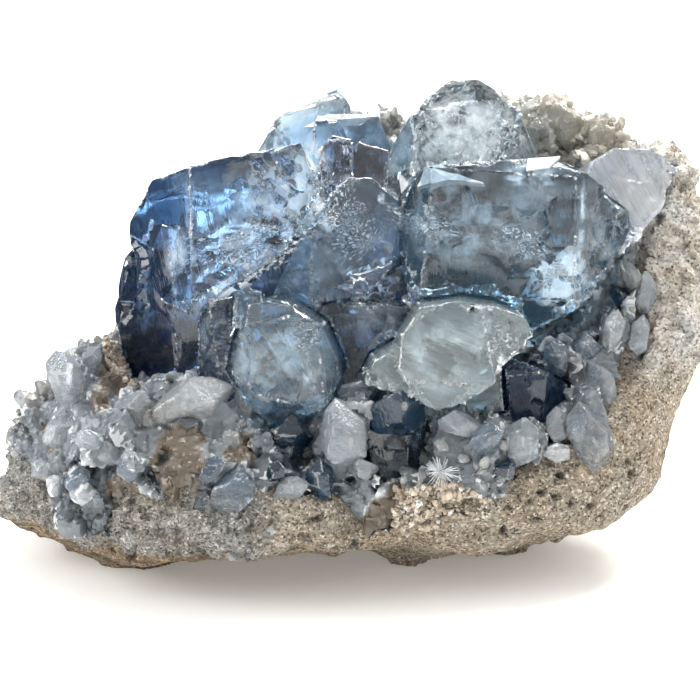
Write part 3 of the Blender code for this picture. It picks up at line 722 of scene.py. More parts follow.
for name, seed, slot, share, finish in BODIES:
    crystals[name] = crystal_body(name, seed, share, white_lines=0.15 if slot == "deep_blue" else 0.7)
    hand_over(crystals[name], clear_finish(name + "_crystal_finish", **finish), name + "_crystal")

# %% [markdown]
# ## Veils inside the crystals
#
# Most of the white in such crystals is inside them: healed cracks and films of tiny bubbles. Each is a thin,
# slightly bent sheet. Three kinds show here. A feather has streaks that spread from its middle, a crackle is
# a net of fine white threads, and a cloud is a soft patch. A sheet is a closed shell four hundredths of a
# millimetre thick, and its material is white where the pattern is and clear elsewhere.

# %% Veils
def facing(azimuth, elevation):
    """Unit vectors for azimuths and elevations in degrees, azimuth 0 being +X and 90 being +Y."""
    a, e = np.radians(azimuth), np.radians(elevation)
    return np.stack([np.cos(a) * np.cos(e), np.sin(a) * np.cos(e), np.sin(e)], axis=-1)


def veil_sheets(name, rows, seed):
    """All sheets of one kind as closed shells in one mesh.

    A point is centre + r edge(t) (wide cos t + tall sin t) + outward (bend r^2 + crumple by noise), for
    r from the middle to the rim and t round it. The two faces of a shell are the same points 0.04 mm apart.
    """
    rng = np.random.default_rng(seed)
    count, rings, around = len(rows), 9, 32
    centre = np.array([row[0] for row in rows]) * MM
    outward = facing(*np.array([row[1] for row in rows], float).T)
    size = np.array([row[2] for row in rows], float) * MM
    roll = np.radians([row[3] for row in rows])
    side = unit(np.cross([0, 0, 1.0], outward))
    up = np.cross(outward, side)
    wide = side * np.cos(roll)[:, None] + up * np.sin(roll)[:, None]
    tall = np.cross(outward, wide)
    r = np.linspace(0.04, 1, rings)[None, :, None]
    t = np.linspace(0, 2 * np.pi, around, endpoint=False)
    edge = 1 + sum(rng.uniform(-0.16, 0.16, (count, 1, 1)) * np.sin(k * t + rng.uniform(0, 6, (count, 1, 1)))
                   for k in (2, 3, 5, 7))
    u, v = r * edge * np.cos(t), r * edge * np.sin(t)
    flat = (centre[:, None, None] + wide[:, None, None] * (u * size[:, 0, None, None])[..., None]
            + tall[:, None, None] * (v * size[:, 1, None, None])[..., None])
    large, small = soft_noise(flat, 2.4 * MM, seed) - 0.5, soft_noise(flat, 0.9 * MM, seed + 1) - 0.5
    bend = (rng.uniform(-0.12, 0.12, (count, 1, 1)) * size.max(axis=1)[:, None, None] * r ** 2
            + MM * (0.7 * large + 0.35 * small))
    front, back = (flat + outward[:, None, None] * (bend + lift * MM)[..., None] for lift in (0.02, -0.02))
    piece = ring_bodies(name, np.concatenate([front, back[:, ::-1]], axis=1))
    place = np.stack([np.broadcast_to(r * np.cos(t), u.shape), np.broadcast_to(r * np.sin(t), u.shape),
                      np.broadcast_to(np.arange(count)[:, None, None] * 1.7, u.shape)], axis=-1)
    both = np.concatenate([place, place[:, ::-1]], axis=1)
    piece.data.attributes.new("sheet", "FLOAT_VECTOR", "POINT").data.foreach_set(
        "vector", both.astype(np.float32).ravel())
    paint(piece, "strength", np.repeat([row[4] for row in rows], 2 * rings * around))
    smooth_but_sharp(piece, 60)
    return piece


def feather_mask(tree, level, index):
    """Streaks that spread from a point beside the middle: noise at (direction, 0.9 distance + index)."""
    beside = node(tree, "VectorMath", {0: level, 1: (0.35, -0.25, 0)}, operation="ADD").outputs[0]
    far = node(tree, "VectorMath", {0: beside}, operation="LENGTH").outputs["Value"]
    direction = node(tree, "VectorMath", {0: beside}, operation="NORMALIZE").outputs[0]
    way = node(tree, "SeparateXYZ", {0: direction}).outputs
    streaks = node(tree, "CombineXYZ", {0: way[0], 1: way[1], 2: calc(tree, "MULTIPLY_ADD", far, 0.9, index)})
    return remap(tree, tex_noise(tree, streaks.outputs[0], 11.0, 4.0, 0.7, Distortion=0.3)[0], 0.53, 0.60)


def crackle_mask(tree, place):
    """Some whole flakes, and thin lines along the borders of all of them, at places pushed by noise."""
    push = tex_noise(tree, place, 500.0, 3.0, 0.6)
    pushed = node(tree, "VectorMath", {0: push["Color"], 1: (0.0022,) * 3, 2: place}, operation="MULTIPLY_ADD")
    cells = {"Vector": pushed.outputs[0], "Scale": 520.0}
    own = node(tree, "SeparateXYZ", {0: node(tree, "TexVoronoi", cells).outputs["Color"]}).outputs[0]
    border = node(tree, "TexVoronoi", cells, feature="DISTANCE_TO_EDGE").outputs[0]
    return calc(tree, "MAXIMUM", remap(tree, border, 0.07, 0.02, 0.0, 0.7), remap(tree, own, 0.62, 0.85))


def veil_finish(kind):
    """White film, clear where its pattern is not. It glows a little, because lamps don't reach into glass."""
    material, tree, place = new_finish(kind + "_veil_finish", Base_Color=(0.97, 0.985, 1.0, 1), Roughness=0.35,
                                       Emission_Color=(0.88, 0.95, 1.0, 1), Emission_Strength=0.30)
    sheet = node(tree, "Attribute", attribute_name="sheet").outputs["Vector"]
    parts = node(tree, "SeparateXYZ", {0: sheet}).outputs
    level = node(tree, "CombineXYZ", {0: parts[0], 1: parts[1]}).outputs[0]
    radius = node(tree, "VectorMath", {0: level}, operation="LENGTH").outputs["Value"]
    if kind == "feather":
        pattern = feather_mask(tree, level, parts[2])
    elif kind == "crackle":
        pattern = crackle_mask(tree, place)
    else:
        pattern = remap(tree, tex_noise(tree, place, 230.0, 5.0, 0.7)[0], 0.42, 0.68)
    shown = calc(tree, "MULTIPLY", pattern, remap(tree, radius, 1.0, 0.45))
    set_shader(tree, Alpha=calc(tree, "MULTIPLY", shown, painted(tree, "strength")))
    return material


# Kind, centre in mm, azimuth and elevation it faces, half width and half height in mm, roll, strength.
VEILS = (
    ("feather", (-14.9, -20.6, 56.2), (276, 5), (8, 5), 20, 1.0),
    ("crackle", (-11.2, -18.7, 65.1), (276, 5), (9, 6), 30, 0.6),
    ("cloud", (-28.1, -19.2, 54.7), (262, 4), (2.6, 5), 0, 1.0),
    ("feather", (-20.9, -16.7, 55.3), (270, 5), (8, 6), 200, 0.7),
    ("cloud", (-16.3, -14.7, 60.0), (276, 5), (8, 6), 0, 0.4),
    ("feather", (-13.6, -17.7, 66.0), (276, 5), (5, 3.6), 110, 0.9),
    ("crackle", (-18.6, -20.7, 50.4), (276, 5), (7, 2.2), 33, 0.8),
    ("cloud", (-29.1, -19.7, 48.1), (262, 0), (1.1, 1.3), 0, 1.0),
    ("cloud", (-5.3, -11.2, 59.6), (282, 12), (1.8, 3.4), 20, 1.0),
    ("feather", (-2.4, -11.2, 60.3), (282, 12), (5.5, 5), 150, 0.8),
    ("feather", (0.5, -10.7, 54.8), (282, 12), (6, 5), 205, 0.6),
    ("cloud", (4.6, -9.4, 61.9), (300, 20), (0.8, 1.2), 0, 1.0),
    ("cloud", (-5.4, -8.7, 51.3), (282, 12), (6, 5), 0, 0.3),
    ("cloud", (17.0, -2.9, 73.6), (268, 14), (4.2, 6), 20, 1.0),
    ("cloud", (12.0, -0.7, 69.7), (268, 14), (4, 3), 10, 0.8),
    ("cloud", (21.5, -2.6, 72.0), (268, 14), (5, 6), 0, 0.75),
    ("feather", (23.4, -0.9, 71.5), (280, 14), (5, 6), 0, 0.9),
    ("feather", (27.4, -17.4, 56.2), (268, 2), (3.6, 5.4), 80, 1.0),
    ("crackle", (34.0, -17.9, 50.4), (268, 2), (5.5, 5), 25, 0.9),
    ("cloud", (35.0, -16.9, 49.6), (268, 2), (4, 4), 25, 0.9),
    ("cloud", (18.1, -13.7, 59.0), (268, 2), (9, 9), 0, 0.4),
    ("cloud", (29.1, -11.7, 60.0), (268, 2), (11, 7), 0, 0.25),
    ("crackle", (32.5, -18.6, 51.7), (268, 2), (4.2, 0.5), 2, 1.0),
    ("cloud", (36.3, -17.7, 59.5), (268, 2), (0.7, 7), 0, 0.9),
    ("feather", (12.6, -15.7, 58.5), (240, 2), (3, 8), 80, 0.7),
    ("cloud", (41.6, -12.7, 56.2), (300, 2), (4, 7), 0, 0.3),
    ("crackle", (42.9, -11.2, 59.2), (312, 2), (2, 4), 0, 0.7),
    ("cloud", (28.6, -16.7, 66.4), (268, 20), (4, 1.6), 0, 0.9),
    ("feather", (-8.6, -29.7, 43.4), (272, 6), (4.5, 3), 25, 0.7),
    ("cloud", (-6.9, -30.9, 36.2), (272, 6), (1.1, 2.0), 20, 1.0),
    ("cloud", (-12.3, -25.7, 36.9), (272, 6), (8, 8), 0, 0.35),
    ("feather", (20.9, -33.7, 43.6), (262, 8), (4, 4.5), 0, 0.7),
    ("cloud", (13.6, -31.7, 40.8), (262, 8), (8, 6), 0, 0.5),
    ("cloud", (2.8, -13.7, 41.7), (268, 14), (6, 4), 0, 0.3),
    ("crackle", (3.1, -11.7, 47.3), (268, 24), (5, 2.4), 0, 0.6),
    ("feather", (48.6, -4.2, 66.0), (280, 24), (7, 4), 60, 0.7),
    ("cloud", (-6.0, 28.3, 70.1), (264, 12), (6, 4), 0, 0.5),
    ("crackle", (-34.3, -12.7, 45.1), (228, 0), (3, 6), 0, 0.3),
)
for kind, seed in (("feather", 301), ("crackle", 307), ("cloud", 311)):
    sheets = veil_sheets(kind + "_veils", [row[1:] for row in VEILS if row[0] == kind], seed)
    hand_over(sheets, veil_finish(kind))

# %% [markdown]
# ## The rough stone
#
# The matrix is a broken, weathered rock: lumps of centimetres, grit of millimetres, open pits, and at the
# foot a few thin bedding ledges. The solid has the lumps. Its copy is remeshed to even squares of two thirds
# of a millimetre. Swells fill the lower right and the left foot, and then each vertex is moved inwards by the
# rubble or, at the lower left and the right rim, by the facets of a crystalline mass.

# %% The stone
TAN = [(0.0, (0.05, 0.043, 0.035)), (0.13, (0.20, 0.17, 0.132)), (0.35, (0.36, 0.31, 0.245)),
       (0.7, (0.48, 0.42, 0.335)), (0.88, (0.64, 0.58, 0.48)), (1.0, (0.90, 0.86, 0.77))]
GREY = [(0.0, (0.06, 0.06, 0.06)), (0.12, (0.18, 0.18, 0.172)), (0.5, (0.33, 0.325, 0.305)),
        (0.85, (0.47, 0.46, 0.43)), (1.0, (0.82, 0.81, 0.77))]
CREAM = [(0.0, (0.14, 0.13, 0.12)), (0.12, (0.46, 0.45, 0.42)), (0.5, (0.72, 0.71, 0.67)),
         (1.0, (0.93, 0.92, 0.89))]


def stone_finish():
    """Rock of packed grains in zones: tan below, grey at the left, cream at the right rim, beds and pits."""
    material, tree, place = new_finish("rough_stone_finish", Roughness=0.8)
    small = group(tree, GRANULES, {"Vector": place, "Scale": 3000.0})
    large = group(tree, GRANULES, {"Vector": place, "Scale": 660.0})
    tan, grey, cream = (ramp(tree, small["Value"], stops) for stops in (TAN, GREY, CREAM))
    colour = mix(tree, painted(tree, "grey_zone"), tan, grey)
    colour = mix(tree, painted(tree, "pale_zone"), colour, cream)
    lump = ramp(tree, large["Value"], [(0.0, (0.60, 0.58, 0.56)), (0.3, (0.86, 0.85, 0.84)), (1.0, (1, 1, 1))])
    colour = mix(tree, 0.8, colour, lump, "MULTIPLY")
    rust = group(tree, MOTTLE, {"Vector": place, "Scale": 75.0, "Contrast": 5.0,
                                "First": (1, 1, 1, 1), "Second": (0.92, 0.78, 0.62, 1)})
    colour = mix(tree, 0.6, colour, rust["Color"], "MULTIPLY")
    flat = node(tree, "Mapping", {"Vector": place, "Scale": (0.12, 0.12, 1.0)}).outputs[0]
    beds = remap(tree, tex_noise(tree, flat, 1500.0, 3.0, 0.6)[0], 0.35, 0.6, 0.45, 1.1)
    brown = mix(tree, 1.0, beds, (0.88, 0.76, 0.60), "MULTIPLY")
    colour = mix(tree, painted(tree, "rind"), colour, brown, "MULTIPLY")
    colour = mix(tree, group(tree, GRIT, {"Vector": place, "Scale": 1300.0})[0], colour, (0.03, 0.028, 0.028))
    # The open pits are painted nearly black: painted shade in the pits.
    colour = mix(tree, painted(tree, "pit"), colour, (0.05, 0.045, 0.04))
    height = calc(tree, "MULTIPLY_ADD", large["Height"], 1.5, small["Height"])
    bump = node(tree, "Bump", {"Strength": 0.8, "Distance": 0.0006, "Height": height})
    set_shader(tree, Base_Color=colour, Normal=bump.outputs[0])
    return material


stone = even_copy("matrix", "stone", 0.66)
points, outward = places_of(stone), places_of(stone, "normal")
right_swell = (rise(points[:, 0], 28 * MM, 50 * MM) * rise(points[:, 2], 4 * MM, 16 * MM)
               * rise(-points[:, 2], -54 * MM, -42 * MM))
foot = rise(-points[:, 0], 26 * MM, 42 * MM) * rise(-points[:, 2], -15 * MM, -7 * MM)
belly = rise(points[:, 0], 14 * MM, 34 * MM) * rise(-points[:, 2], -34 * MM, -14 * MM)
swell = np.stack([3.2 * right_swell + 1.6 * belly, 0 * foot, -3.4 * foot - 3.4 * belly], axis=1)
points = points + MM * swell
across, high = points[:, 0] / MM, points[:, 2] / MM + 5 * (soft_noise(points, 5 * MM, 61) - 0.5)
grey = rise(-across, 8, 18) * rise(high, 7.0, 9.0)
pale = rise(across, 34, 44) * rise(high, 30, 44)
pebbles, holes = cell_noise(points, 4.2 * MM, 31)[0], cell_noise(points, 3.1 * MM, 37)[0]
ledges = soft_noise(points * np.array([0.12, 0.12, 1]), 1.4 * MM, 41) * rise(-points[:, 2], -8 * MM, -4 * MM)
pits = rise(-holes, -0.28, -0.15) * rise(soft_noise(points, 9 * MM, 43), 0.48, 0.6)
crystal_mass = 1.1 * facet_noise(points, 2.3 * MM, 45) + 0.4 * facet_noise(points, 1.1 * MM, 46)
rubble = (0.5 * soft_noise(points, 11 * MM, 47) + 0.3 * pebbles + 0.45 * soft_noise(points, 2.2 * MM, 53)
          + 0.35 * soft_noise(points, 1.0 * MM, 59) + 0.7 * ledges + 1.0 * pits)
share = np.maximum(grey, pale)
inwards = share * crystal_mass + (1 - share) * rubble * 1.15 - 0.55
standing = points[:, 2] < 0.3 * MM
moved = points - outward * inwards[:, None] * MM
moved[standing, 2] = 0
move_to(stone, moved)
for mask, values in (("pit", pits), ("grey_zone", grey), ("pale_zone", pale),
                     ("rind", rise(-high, -9.5, -7.5) * rise(-across, 0, 12))):
    paint(stone, mask, values)
smooth_but_sharp(stone, 38)
hand_over(stone, stone_finish(), "matrix")

# %% [markdown]
# ## The druse: a bed and its grains
#
# The crust between the large crystals and the rock is made of small crystals grown into each other. Its
# solid already has the ones that can be told apart. A bed keeps these, and thousands of smaller grains are
# added on its outer side. Each grain is a five-sided prism with a chisel tip: three rings of five points along
# an axis, with its own width, height and tilt. All grains are worked out in one array.

# %% Bed of the druse
def druse_finish(name, dark, light, clear, rough):
    """Small translucent crystals: each grain has its own shade, from nearly clear grey-blue to white."""
    material, tree, place = new_finish(name, IOR=1.62, Transmission_Weight=clear)
    between = tuple((a + b) / 2 for a, b in zip(dark, light))
    tone = ramp(tree, painted(tree, "shade"), [(0.0, dark), (0.35, between), (0.8, light),
                                               (1.0, (0.93, 0.95, 0.96))])
    spots = group(tree, MOTTLE, {"Vector": place, "Scale": 700.0, "Contrast": 3.0,
                                 "First": (0.60, 0.61, 0.62, 1), "Second": (1, 1, 1, 1)})
    colour = mix(tree, 0.7, tone, spots["Color"], "MULTIPLY")
    # The first zone is painted backlight, warm at the back rim; rust and grit are stains of their own.
    for zone, tint in (("backlit_warmth", (0.84, 0.79, 0.66)), ("rusty", (0.50, 0.40, 0.29)),
                       ("gritty", (0.20, 0.155, 0.11))):
        colour = mix(tree, painted(tree, zone), colour, tint)
    # White on chips, and painted glints on the crests of the bed and the edges of the lumps.
    white = group(tree, BRUISES_AND_GLINTS, {"Vector": place, "Chip": painted(tree, "chip")})["White"]
    colour = mix(tree, white, colour, (0.95, 0.96, 0.97))
    # Painted shade in the low places of the bed, between its crystals.
    colour = mix(tree, calc(tree, "MULTIPLY", painted(tree, "valley_shade"), 0.8), colour, (0.09, 0.10, 0.115))
    bump = node(tree, "Bump", {"Strength": 0.3, "Distance": 0.0003, "Height": spots["Mask"]})
    set_shader(tree, Base_Color=colour, Normal=bump.outputs[0],
               Roughness=remap(tree, spots["Mask"], 0, 1, rough, rough + 0.12))
    return material


# The larger crystals of the crust: middle x and z, half width and half height in mm, and how pale each is.
CRUST_SHADES = (
    (-1.6, 27, 5, 7, 0.6), (-9.4, 25, 5.6, 7, 0.04), (-5, 20, 3, 3.5, 0.08), (-19, 20, 4.2, 4, 0.3),
    (-11.3, 19.3, 3.9, 2.8, 0.62), (37.8, 27.5, 4, 6.8, 0.5), (28.4, 25.5, 2.8, 4.6, 0.42),
    (32, 20.7, 3.5, 2.7, 0.62), (-31.6, 31, 4.2, 4.5, 0.8), (-26.3, 30.5, 3.6, 6, 0.86),
    (-21, 29.5, 3.3, 4.6, 0.84), (-37.6, 28.5, 3.6, 4.5, 0.7), (-46, 31.5, 5.8, 7.5, 0.6),
    (-52.8, 24, 5, 6.5, 0.55), (43.3, 38.7, 3, 5.8, 0.1), (41.2, 33, 3.2, 6.2, 0.72),
    (16.4, 26.5, 4, 6.5, 0.45), (22, 25.5, 3.2, 6.5, 0.55), (15.5, 21, 3.7, 3.3, 0.4),
    (21.9, 20.7, 3, 2.7, 0.65),
)
# Patches of tan grit: middle x, y, z and reach in mm.
GRIT_PATCHES = (
    ((-39.5, -16, 33), (3.2, 9, 7)), ((-40.5, -23, 36), (2, 6, 4)), ((-27, -38, 25), (4.6, 7, 6.5)),
    ((-17.8, -36, 26), (2.4, 5, 2)), ((12, -38, 17), (10, 9, 4)), ((5, -39, 13.5), (5, 8, 4.5)),
    ((-41, -26.6, 31.8), (1.6, 3, 1.6)), ((-50, -25, 24.5), (2, 4, 2.2)), ((-36, -36, 20), (3, 5, 3)),
)


def grit_share(points):
    """1 in a patch of grit, 0 outside, with an uneven rim."""
    nearest = np.min([away_from(points, centre, reach) for centre, reach in GRIT_PATCHES], axis=0)
    return rise(-nearest - 0.6 * (soft_noise(points, 2 * MM, 59) - 0.5), -1.05, -0.95)


def paint_druse(piece, shade, chip=None, rust=0.3):
    """Shade, chips and glints of a druse piece, and painted backlight that makes the back rim paler and
    warmer.
    """
    points = places_of(piece)
    # Painted backlight: paler and warmer where the back rim is lit from behind.
    sunlit = rise(points[:, 1], 3 * MM, 9 * MM) * rise(points[:, 2], 56 * MM, 63 * MM)
    paint(piece, "shade", shade + (0.95 - shade) * 0.8 * sunlit)
    paint(piece, "backlit_warmth", sunlit * (0.3 + 0.7 * rise(points[:, 0], 20 * MM, 48 * MM)))
    stained = rise(-points[:, 0], 8 * MM, 20 * MM) * rise(soft_noise(points, 6 * MM, 89), 0.55, 0.7)
    paint(piece, "rusty", rust * stained)
    if chip is not None:
        paint(piece, "chip", chip)


bed = even_copy("drusy_crust", "druse_bed", 0.5)
points, outward = places_of(bed), places_of(bed, "normal")
coarse, fine = facet_noise(points, 3.4 * MM, 79), facet_noise(points, 1.4 * MM, 81)
shade, own_form = 0.05 + 0.7 * coarse + 0.2 * fine, np.zeros(len(points))
for x, z, wide, tall, value in CRUST_SHADES:
    away = np.hypot((points[:, 0] / MM - x) / wide, (points[:, 2] / MM - z) / tall)
    inside = rise(-away, -1.12, -0.98) * (points[:, 1] < 5 * MM)
    shade = shade * (1 - 0.6 * inside) + 0.6 * value * inside
    own_form = np.maximum(own_form, inside)
gritty = grit_share(points)
level = ((1.5 * coarse + 0.55 * fine) * (1 - 0.45 * own_form) - 0.75
         + 0.5 * gritty * (soft_noise(points, 0.9 * MM, 83) - 0.5))
near, second = cell_noise(points, 1.4 * MM, 81)
far_near, far_second = cell_noise(points, 3.4 * MM, 79)
border = np.maximum(rise(-(second - near), -0.16, -0.02), rise(-(far_second - far_near), -0.1, -0.01))
raised = coarse + 0.3 * fine
# Painted highlights on the raised borders of the bed's crystals, carried as chips.
crest_glints = border * (0.35 + 0.65 * rise(raised, 0.55, 0.95)) * rise(soft_noise(points, 2.4 * MM, 72), 0.35, 0.6)
shade *= 1 - 0.5 * rise(-points[:, 2], -17 * MM, -12 * MM)
move_to(bed, points + outward * level[:, None] * MM)
paint_druse(bed, shade, crest_glints * (1 - gritty), rust=0.0)
paint(bed, "gritty", gritty)
# Painted shade where the bed is low.
paint(bed, "valley_shade", rise(-raised, -0.35, -0.05) * (1 - own_form))
smooth_but_sharp(bed, 26)
hand_over(bed, druse_finish("druse_bed_finish", (0.03, 0.05, 0.07), (0.40, 0.44, 0.47), 0.4, 0.12),
          "drusy_crust")

# %% Grains of the druse
def grains(name, roots, axes, widths, heights, seed, rust=0.3):
    """All grains as one mesh: three rings of five points along each axis, the last one a shifted chisel.

    A point is root + axis * step + (across * cos + other * sin * flatness) * width * taper.
    """
    rng = np.random.default_rng(seed)
    count, sides = len(roots), 5
    across = unit(np.cross(axes, rng.normal(size=(count, 3))))
    other = np.cross(axes, across)
    taper = np.stack([np.full(count, 0.85), np.ones(count), rng.uniform(0.15, 0.6, count)], axis=1)
    flat = rng.uniform(0.55, 1, (count, 1)) * np.array([1.0, 0.95, 0.6])
    steps = np.stack([np.full(count, -0.8), rng.uniform(0.1, 0.6, count), np.ones(count)], axis=1)
    angle = np.linspace(0, 2 * np.pi, sides, endpoint=False) + rng.uniform(-0.45, 0.45, (count, sides))
    cos, sin = np.cos(angle)[:, None, :], np.sin(angle)[:, None, :]
    wide = widths[:, None, None]
    radius = wide * taper[..., None] * rng.uniform(0.7, 1.15, (count, 1, sides))
    uneven = wide * rng.uniform(-0.22, 0.22, (count, 3, sides)) * np.array([0, 1, 0.6])[:, None]
    lift = heights[:, None, None] * steps[..., None] + uneven
    shift = wide * rng.uniform(-0.35, 0.35, (2, count, 1, 1)) * np.array([0, 0, 1])[:, None]
    places = (roots[:, None, None, :] + axes[:, None, None, :] * lift[..., None]
              + across[:, None, None, :] * (radius * cos + shift[0])[..., None]
              + other[:, None, None, :] * (radius * flat[..., None] * sin + shift[1])[..., None])
    piece = ring_bodies(name, places, upwards=True)
    move_to(piece, places_of(piece))
    paint_druse(piece, np.repeat(rng.beta(1.0, 1.1, count), 3 * sides), rust=rust)
    return piece


def scatter(source, count, seed, keep):
    """Random points on a mesh, even by area, with their normals, where keep(points, normals) says so."""
    mesh = source.data
    mesh.calc_loop_triangles()
    corners = np.empty(len(mesh.loop_triangles) * 3, np.int32)
    mesh.loop_triangles.foreach_get("vertices", corners)
    a, b, c = (places_of(source)[corners.reshape(-1, 3)[:, k]] for k in range(3))
    cross = np.cross(b - a, c - a)
    area = np.linalg.norm(cross, axis=1)
    rng = np.random.default_rng(seed)
    chosen = rng.choice(len(area), count, p=area / area.sum())
    u, v = rng.uniform(size=(2, count))
    u, v = np.where(u + v > 1, 1 - u, u), np.where(u + v > 1, 1 - v, v)
    points = a[chosen] + u[:, None] * (b - a)[chosen] + v[:, None] * (c - a)[chosen]
    normals = cross[chosen] / np.maximum(area[chosen], 1e-12)[:, None]
    kept = keep(points, normals)
    return points[kept], normals[kept]


def depth_in_crystals(points):
    """How far each point is inside the nearest large crystal, in metres: negative outside."""
    trees = []
    for name in crystals:
        bm = merged_copy(name + "_crystal", flatness=0)
        trees.append(BVHTree.FromBMesh(bm))
        bm.free()

    def depth(point):
        found = [tree.find_nearest(point) for tree in trees]
        return max((near - point).dot(normal) if (near - point).dot(normal) < 0 else distance
                   for near, normal, _, distance in found)
    return np.array([depth(Vector(point)) for point in points])


OPENING = np.array([0.0, -0.5, 0.87])


def in_patches(points, normals):
    """Points whose place is in one of the grit patches."""
    return grit_share(points) > 0.5


def outer_side(points, normals):
    """The side that opens to the front and the top, without the grit patches."""
    return ((normals @ OPENING > 0.05) | (normals[:, 1] < -0.5)) & ~in_patches(points, normals)


def grow(name, source, count, seed, keep, smallest, spread, jitter, finish, rise_by=(0.8, 1.9)):
    """Grains rooted on a piece, without those that would be in a large crystal or close to the box."""
    rng = np.random.default_rng(seed)
    roots, out = scatter(source, count, seed + 1, keep)
    clear_of = depth_in_crystals(roots) < -0.05 * MM
    roots, out = roots[clear_of], out[clear_of]
    widths = MM * (smallest + spread * rng.beta(1.2, 3.4, len(roots)))
    axes = unit(out + jitter * rng.normal(size=out.shape) + np.array([0, -0.25, 0.25]))
    heights = widths * rng.uniform(*rise_by, len(roots))
    tips = roots + axes * heights[:, None]
    low, high = np.array(CAD_BOX[0]) + 1.0 * MM, np.array(CAD_BOX[1]) - 1.0 * MM
    room = (depth_in_crystals(tips) < 0.4 * MM) & np.all((tips > low) & (tips < high), axis=1)
    piece = grains(name, roots[room], axes[room], widths[room], heights[room], seed + 2)
    hand_over(piece, finish)


GRAIN_FINISH = druse_finish("druse_grain_finish", (0.15, 0.17, 0.18), (0.82, 0.84, 0.82), 0.6, 0.05)
grow("druse_grains", bed, 5200, 83, outer_side, 0.3, 1.1, 0.5, GRAIN_FINISH)


def sugary_front(points, normals):
    """The lower left of the stone, a mass of crystal grains, where it faces forward or up."""
    x, z = points[:, 0] / MM, points[:, 2] / MM
    facing_us = (normals[:, 1] < -0.15) | (normals[:, 2] > 0.3)
    return (x < -10 + 4 * np.sin(z)) & (z > 9 + np.sin(0.8 * x)) & facing_us


grow("stone_grains", stone, 6000, 283, sugary_front, 0.4, 1.5, 0.7, GRAIN_FINISH, rise_by=(0.4, 0.9))

# %% [markdown]
# ## The crystals of the druse that can be told apart
#
# Between the grains stand crystals of 3 to 10 mm, too irregular to be simple prisms, and smaller ones of the
# same make are scattered between them. Each is the space that is left between thirteen planes: six sides,
# four at the top and three below. Seen from its middle, a direction reaches as far as the nearest plane. A
# high power mean in place of the exact minimum rounds the edges a little, as on the real ones.

# %% Lumps between planes
def lumps(name, rows, seed, finish, rings=22, around=36, blunt=60, rust=0.3):
    """reach(direction) = (sum over planes of (direction . normal / distance) ^ blunt) ^ (-1 / blunt).

    A row is the middle x, y, z, the half width, half depth and half height in mm, and how pale it is.
    """
    rng = np.random.default_rng(seed)
    rows = np.array(rows, float)
    count = len(rows)
    turn = (np.concatenate([np.arange(6) / 6, np.arange(4) / 4, np.arange(3) / 3]) * 2 * np.pi
            + rng.uniform(0, 6, (count, 1)) + rng.uniform(-0.3, 0.3, (count, 13)))
    climb = np.repeat([0, 0.85, -0.85], [6, 4, 3]) + rng.uniform(-0.25, 0.25, (count, 13))
    normals = np.stack([np.cos(turn) * np.cos(climb), np.sin(turn) * np.cos(climb), np.sin(climb)], axis=-1)
    far = rng.uniform(0.66, 1.0, (count, 13))
    down = np.linspace(0, np.pi, rings + 2)[1:-1, None]
    round_it = np.linspace(0, 2 * np.pi, around, endpoint=False)
    way = np.stack([np.sin(down) * np.cos(round_it), np.sin(down) * np.sin(round_it),
                    np.cos(down) * np.ones(around)], axis=-1)
    term = np.maximum(np.einsum("cpk,rak->crap", normals, way), 0) / far[:, None, None]
    reach = np.minimum(np.sum(term ** blunt, axis=-1) ** (-1 / blunt), 1.3)
    ordered = np.sort(term, axis=-1)
    edge = rise(ordered[..., -2] / ordered[..., -1], 0.93, 0.99)
    local = way * reach[..., None]
    lean = rng.uniform(-0.45, 0.45, (2, count, 1, 1))
    local[..., 0] += lean[0] * local[..., 2]
    local[..., 1] += lean[1] * local[..., 2]
    places = (rows[:, None, None, :3] + local * rows[:, None, None, 3:6]) * MM
    piece = ring_bodies(name, places)
    points = places_of(piece)
    shade = np.repeat(rows[:, 6], rings * around) + 0.3 * (soft_noise(points, 2.5 * MM, seed) - 0.5)
    # Edges are painted white: worn chips with painted glints.
    chip = 1.2 * edge.ravel() * rise(soft_noise(points, 1.6 * MM, seed + 1), 0.3, 0.5)
    paint_druse(piece, shade, chip, rust)
    move_to(piece, points)
    smooth_but_sharp(piece, 30)
    hand_over(piece, finish)


